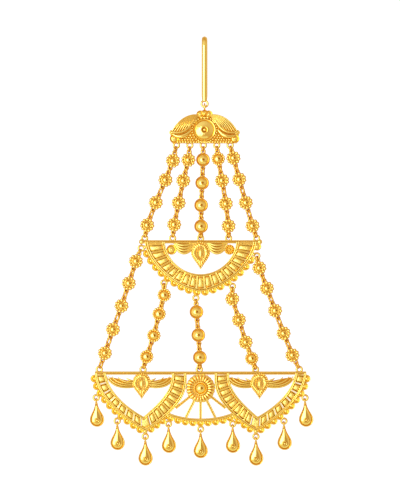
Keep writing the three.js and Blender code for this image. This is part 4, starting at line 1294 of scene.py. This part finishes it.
def dished(work, centre, turn):
    """A rolled rim and a groove round a low dome, as one turned profile, with groove and rim painted dark as
    shade.
    """
    hollow_shade = hump(DISHED_SHARES, 0.71, 0.05) + 0.7 * (DISHED_SHARES > 0.76)
    relief(work, circle(DISHED_BEAD, 64, centre, turn), centre, DISHED_SHARES, DISHED_HEIGHTS, BEAD_BACK,
           hollow_shade=hollow_shade)
    prick(work, centre + [0.1, 0.06], 0.82)


def pearled(work, centre, turn):
    """A dome inside a rim of fourteen small granules."""
    # The disc is painted darker as shade towards its rim.
    relief(work, circle(1.9, 42, centre, turn), centre, PEARLED_SHARES, PEARLED_HEIGHTS, BEAD_BACK,
           hollow_shade=0.9 * PEARLED_SHARES)
    for pearl in circle(1.8, PEARLS, centre, turn):
        granule(work, pearl, 0.45, 0.12, 0.8)
    ball(work, centre, 1.42, 0.1, 14, 32, 0.62)
    prick(work, centre + [0.14, 0.04], 1.0)


for kind in (rosette, dished, pearled):
    trial = Work()
    kind(trial, np.zeros(2), 0.0)
    print(f"points in a {kind.__name__} bead:", trial.count)

# %% [markdown]
# ## Strings
#
# Each string runs from an eye above to an eye below. Every bead has a small loop soldered to it at both ends,
# lying flat to the viewer, and a link joins two loops, or a loop and the plate's eye. A chain in which every
# ring lay flat would look printed, so the links are turned more than halfway edge-on, as they come to rest.
# Links and loops are painted a deeper colour, as painted shade between the tangled rings. The beads stand a
# little beside the straight line between the eyes, because hanging strings are never quite straight.

# %% A string
LOOP, LOOP_WIRE, LOOP_OUT, LOOP_SHADE = 0.58, 0.29, 0.42, 0.4
LINK_WIRE, LINK_TURN, LINK_SHADE = 0.35, 0.42, 0.6


def link(work, centre, way, radius):
    """A ring whose axis is square to the string's way and leans 0.42 towards the viewer."""
    ring(work, centre, radius, LINK_WIRE, (way[1], -way[0], LINK_TURN), steps=20, shade=LINK_SHADE)


def loop_and_link(work, bead, other, radius, to_eye):
    """A flat loop beside the bead and, at a string's end, the link that passes through the plate's eye."""
    distance = np.hypot(*(other - bead))
    way = (other - bead) / distance
    ring(work, bead + way * (radius + LOOP_OUT), LOOP, LOOP_WIRE, steps=20, shade=LOOP_SHADE)
    if to_eye:
        near, far = EYE, distance - radius - 1.0
        link(work, other - way * (near + far) / 2, way, max(0.62, abs(far - near) / 2 + 0.36))


def make_string(name, start, end, route, kinds):
    """Bead i stands at start + share_i (end - start) + aside_i (the same step turned to the right)."""
    work = Work()
    line = end - start
    right = np.array([-line[1], line[0]])
    beads = [start + line * share + right * aside for share, aside in route]
    stops = [start, *beads, end]
    for i, (bead, kind) in enumerate(zip(beads, kinds)):
        turn = np.arctan2(*(stops[i + 2] - stops[i])[::-1])
        radius = DISHED_BEAD if kind is dished else BEAD
        kind(work, bead, turn)
        loop_and_link(work, bead, stops[i], radius, i == 0)
        loop_and_link(work, bead, stops[i + 2], radius, i + 1 == len(beads))
        if i + 1 < len(beads):
            way = beads[i + 1] - bead
            gap = np.hypot(*way) - 2 * radius
            link(work, (bead + beads[i + 1]) / 2, way / np.hypot(*way), max(gap / 2 - 0.5, 0.5))
    return work.finish(f"beads_{name}", [name], "pendant", STAMPED)


print("a loop, mm across outside:", 2 * (LOOP + LOOP_WIRE))

# %% [markdown]
# ## The ten strings
#
# Five strings hang above the half-moon plate and five below it. For each bead, the first number is its share
# of the way from eye to eye and the second how far it stands aside, as a share of the same length. Equal
# steps would be shorter to write, but the photograph shows uneven ones, and the eye notices a row that is too
# regular. Most beads are rosettes. The middle strings are plain domes, and a few beads are pearled.

# %% All strings
UPPER = (
    ((0.16, 0.018), (0.37, 0.009), (0.62, -0.01), (0.865, -0.018)),
    ((0.155, 0.013), (0.38, 0.0), (0.62, -0.005), (0.855, -0.01)),
    ((0.155, 0.002), (0.405, 0.0), (0.645, -0.004), (0.872, 0.002)),
    ((0.145, -0.002), (0.38, 0.009), (0.63, 0.018), (0.87, 0.016)),
    ((0.135, -0.003), (0.365, -0.006), (0.615, -0.007), (0.865, -0.005)),
)
LOWER = (
    ((0.11, -0.006), (0.29, -0.002), (0.475, 0.002), (0.67, -0.001), (0.865, 0.0)),
    ((0.13, 0.035), (0.35, 0.029), (0.6, 0.028), (0.85, 0.006)),
    ((0.195, 0.0), (0.52, 0.01), (0.833, 0.016)),
    ((0.14, -0.04), (0.395, -0.031), (0.665, -0.025), (0.865, -0.008)),
    ((0.1, -0.016), (0.28, -0.016), (0.475, -0.017), (0.675, -0.017), (0.87, -0.012)),
)
UPPER_KINDS = ([rosette] * 4, [rosette] * 4, [dished] * 4, [pearled] + [rosette] * 3, [rosette] * 4)
LOWER_KINDS = ([rosette] * 5, [pearled] * 4, [dished] * 3, [rosette] * 3 + [pearled], [rosette] * 5)

for i in range(5):
    make_string(f"upper_strand_{i + 1}", CROWN_EYES[i], MOON_TOP_EYES[i], UPPER[i], UPPER_KINDS[i])
    make_string(f"lower_strand_{i + 1}", MOON_HEM_EYES[i], BASE_TOP_EYES[i], LOWER[i], LOWER_KINDS[i])
print("beads in all:", sum(len(kinds) for kinds in UPPER_KINDS + LOWER_KINDS))

# %% [markdown]
# ## Drops
#
# Nine pear drops hang from the hem. Each has a rolled rim, a groove inside it painted dark as shade, a smooth
# belly, and a ring of wire with a granule low on the belly, on a small disc painted dark as shade. A pear
# turned on a lathe would be as deep as it is wide. The photograph shows no side, so these are taken to be
# stamped and nearly flat, and are reliefs too. Their rings close onto a spine and not onto a point, or the
# belly would rise to a peak. Each drop leans by up to four degrees, as it hung when it was photographed.

# %% A pear drop
DROP_LEANS = (2.6, 1.2, 1.0, 1.4, 0.4, 1.0, 1.0, 2.4, 3.6)
DROP_RADIUS, DROP_LENGTH, DROP_NECK = 2.3, 7.5, 0.42
LINK, DROP_LINK_WIRE = 0.76, 0.24
DROP_SHARES = np.array([0, 0.1, 0.2, 0.32, 0.45, 0.57, 0.67, 0.73, 0.78, 0.82, 0.86, 0.91, 0.96, 1.0])
DROP_HEIGHTS = np.array([0.56, 0.555, 0.54, 0.51, 0.45, 0.36, 0.26, 0.16, 0.1, 0.2, 0.4, 0.44, 0.32, 0.05])


def leaned(points, hang, degrees):
    """Points drawn below (0, 0), turned by the lean and moved to where the drop hangs."""
    c, s = np.cos(np.radians(degrees)), np.sin(np.radians(degrees))
    points = np.asarray(points, float)
    turned = [c * points[..., 0] - s * points[..., 1], s * points[..., 0] + c * points[..., 1]]
    return np.stack(turned, -1) + hang


def pear_outline(top, middle):
    """A curve from the neck to the widest place, a quarter circle below it, and both mirrored."""
    cheek = bezier((DROP_NECK, top), (DROP_NECK * 1.4, top - DROP_LENGTH * 0.3),
                   (DROP_RADIUS, middle + DROP_RADIUS * 0.75), (DROP_RADIUS, middle))
    t = np.linspace(0, -np.pi / 2, 20)
    bottom = np.stack([DROP_RADIUS * np.cos(t), middle + DROP_RADIUS * np.sin(t)], -1)
    half = np.concatenate([cheek(np.linspace(0, 1, 30))[:-1], bottom])
    return np.concatenate([half, (half * [-1, 1])[-2::-1]])


def make_drop(name, eye, lean):
    """The pear's relief round its spine, then the ringed granule, the link through the eye, and solder."""
    work = Work()
    hang = eye - [0, EYE]
    top = -LINK - 0.12
    middle = top - DROP_LENGTH + DROP_RADIUS
    outline = pear_outline(top, middle)
    centre = np.array([0.0, middle + 0.2])
    spine = np.stack([0 * outline[:, 0], np.clip(outline[:, 1], middle, top - 1.3)], -1)
    outline, centre, spine = (leaned(points, hang, lean) for points in (outline, centre, spine))
    # Painted shade in the groove inside the rim.
    groove = 1.3 * hump(DROP_SHARES, 0.785, 0.055)
    relief(work, outline, centre, DROP_SHARES, DROP_HEIGHTS, -0.6, 0.12, groove, spine)
    boss = leaned((0.0, middle - 0.15), hang, lean)
    # A small disc painted dark as shade round the ringed granule.
    relief(work, circle(0.94, 24, boss), boss, [0, 0.4, 0.7, 1.0], [0.58, 0.58, 0.58, 0.52], 0.2, hollow_shade=0.95)
    ring(work, [*boss, 0.64], 0.66, 0.15, steps=28)
    ball(work, boss, 0.42, 0.66, 8, 14)
    way = np.array([np.sin(np.radians(lean)), -np.cos(np.radians(lean))])
    ring(work, hang, LINK, DROP_LINK_WIRE, (way[1], -way[0], 0), steps=24, shade=LOOP_SHADE)
    ball(work, leaned((0.0, top + 0.05), hang, lean), 0.44, 0.0, 8, 14)
    return work.finish(f"pear_{name}", [name], "pendant", POLISHED)


for i, (eye, lean) in enumerate(zip(DROP_EYES, DROP_LEANS)):
    make_drop(f"drop_{i + 1}", eye, lean)

# %% [markdown]
# ## Studio: the room
#
# Polished gold shows mostly what stands around it, so the room is the main light. A picture of a studio could
# be wrapped round the scene, but a few soft glows, each a power of the angle to one direction, are enough and
# need no file. The room itself is a warm orange, as gold sees mostly other gold. Cool light comes from the
# front, the left, above, the right and behind, and a crisp round window at the lower left puts the small
# white highlight on every bead. A faint dark patch near the camera keeps flat metal from turning pale. The
# camera itself, and matt surfaces such as the floor, see the room as plain white.

# %% Room
WARM_ROOM, COOL_LIGHT, WHITE = (0.6, 0.3, 0.018), (0.36, 0.6, 1.0), (1.0, 1.0, 1.0, 1.0)
WINDOW_EDGE, WINDOW_CRISP = 0.87, 16.0
PATCH_EDGE, PATCH_CRISP = 0.968, 60.0
ROOM_LIGHT, PATCH_DIM, SEEN_MORE, MATT_MORE = 0.93, 0.2, 0.22, 0.02


def make_room():
    """Room = warm + cool light times the sum of the glows; strength 0.93, a little more where it is seen."""
    world = bpy.data.worlds.new("studio")
    bpy.context.scene.world = world
    world.use_nodes = True
    tree = world.node_tree
    back = tree.nodes["Background"]
    begin = Sock(tree, back.outputs[0])
    way = begin.node("ShaderNodeTexCoord", output="Generated")
    left = way.towards((-0.92, -0.3, 0.15)) ** 2.5
    window = ((way.towards((-0.5, -0.84, -0.16)) - WINDOW_EDGE) * WINDOW_CRISP).clamped()
    above = way.towards((-0.1, -0.62, 0.78)) ** 7.0
    front = way.towards((0.0, -1.0, 0.0))
    right = way.towards((0.93, -0.34, 0.2)) ** 4.0
    behind = way.towards((0.3, 0.9, 0.3)) ** 2.0
    dark = ((way.towards((0.3, -0.95, 0.06)) - PATCH_EDGE) * PATCH_CRISP).clamped()
    cool = 0.42 * front + 1.1 * left + 4.2 * window + 0.6 * above + 0.6 * right + 0.8 * behind
    cool = cool * (1 - 0.3 * dark)
    room = cool.node("ShaderNodeVectorMath", {0: cool, 1: COOL_LIGHT, 2: WARM_ROOM}, operation="MULTIPLY_ADD")
    seen = begin.node("ShaderNodeLightPath", output="Is Camera Ray")
    matt = begin.node("ShaderNodeLightPath", output="Is Diffuse Ray")
    tree.links.new((seen + matt).blend(room, WHITE).socket, back.inputs["Color"])
    strength = (ROOM_LIGHT - PATCH_DIM * dark) + SEEN_MORE * seen + MATT_MORE * matt
    tree.links.new(strength.socket, back.inputs["Strength"])
    print("nodes in the studio:", len(tree.nodes))


make_room()

# %% [markdown]
# ## Studio: the lamp
#
# A room alone lights a jewel very evenly. One soft round lamp up on the left adds small bright lines on the
# wires, on the side where the photograph is brightest, and soft edges to the shade. A lamp with an area is
# used, because a point lamp would leave hard glints on every granule.

# %% Key lamp
LAMP_PLACE, LAMP_AIM = (-0.34, -0.6, 0.1), (0.0, 0.0, -0.07)
LAMP_SIZE, LAMP_POWER = 0.16, 0.6


def make_key_lamp():
    """A disc of light whose axis points from its place to the middle of the jewel."""
    light = bpy.data.lights.new("key_lamp", "AREA")
    light.shape = "DISK"
    light.size = LAMP_SIZE
    light.energy = LAMP_POWER
    lamp = bpy.data.objects.new("key_lamp", light)
    bpy.context.scene.collection.objects.link(lamp)
    lamp.location = LAMP_PLACE
    way = Vector(np.subtract(LAMP_AIM, LAMP_PLACE))
    lamp.rotation_euler = way.to_track_quat("-Z", "Y").to_euler()
    print("lamp to jewel, metres:", round(way.length, 3))


make_key_lamp()

# %% [markdown]
# ## Floor, camera and view
#
# The photograph has a plain pale ground, so a round pale floor lies below the drops and just under the
# picture's edge. The camera is level and looks straight at the jewel through a long lens, which keeps the
# plates free of perspective. The plain Standard view keeps the gold's yellow, which a filmic view would wash
# out.

# %% Floor, camera and view
FLOOR_HEIGHT, FLOOR_RADIUS = -0.172, 0.16
CAMERA_DISTANCE, HEIGHT_SEEN, SENSOR = 0.95, 0.16, 36.0
MIDDLE_X, MIDDLE_Z = -0.00147, -0.06669


def make_floor():
    """A disc: (R cos a, R sin a) at the floor's height."""
    edge = circle(FLOOR_RADIUS, 96)
    mesh = bpy.data.meshes.new("pale_floor")
    mesh.from_pydata(in_space(edge, FLOOR_HEIGHT), [], [list(range(len(edge)))])
    material = bpy.data.materials.new("pale_floor")
    material.use_nodes = True
    shader = material.node_tree.nodes["Principled BSDF"]
    shader.inputs["Base Color"].default_value = (0.9, 0.89, 0.87, 1)
    shader.inputs["Roughness"].default_value = 0.8
    mesh.materials.append(material)
    floor = bpy.data.objects.new("pale_floor", mesh)
    bpy.context.scene.collection.objects.link(floor)


def make_camera():
    """Focal length = sensor height times distance over the height that is seen."""
    data = bpy.data.cameras.new("camera")
    data.sensor_fit = "VERTICAL"
    data.sensor_height = SENSOR
    data.lens = SENSOR * CAMERA_DISTANCE / HEIGHT_SEEN
    data.clip_end = 20
    camera = bpy.data.objects.new("camera", data)
    bpy.context.scene.collection.objects.link(camera)
    camera.location = (MIDDLE_X, -PLATE_PLANE * MM - CAMERA_DISTANCE, MIDDLE_Z)
    camera.rotation_euler = (np.pi / 2, 0, 0)
    bpy.context.scene.camera = camera
    print("lens, mm:", data.lens)


make_floor()
make_camera()
bpy.context.scene.view_settings.view_transform = "Standard"

# %% [markdown]
# ## The end
#
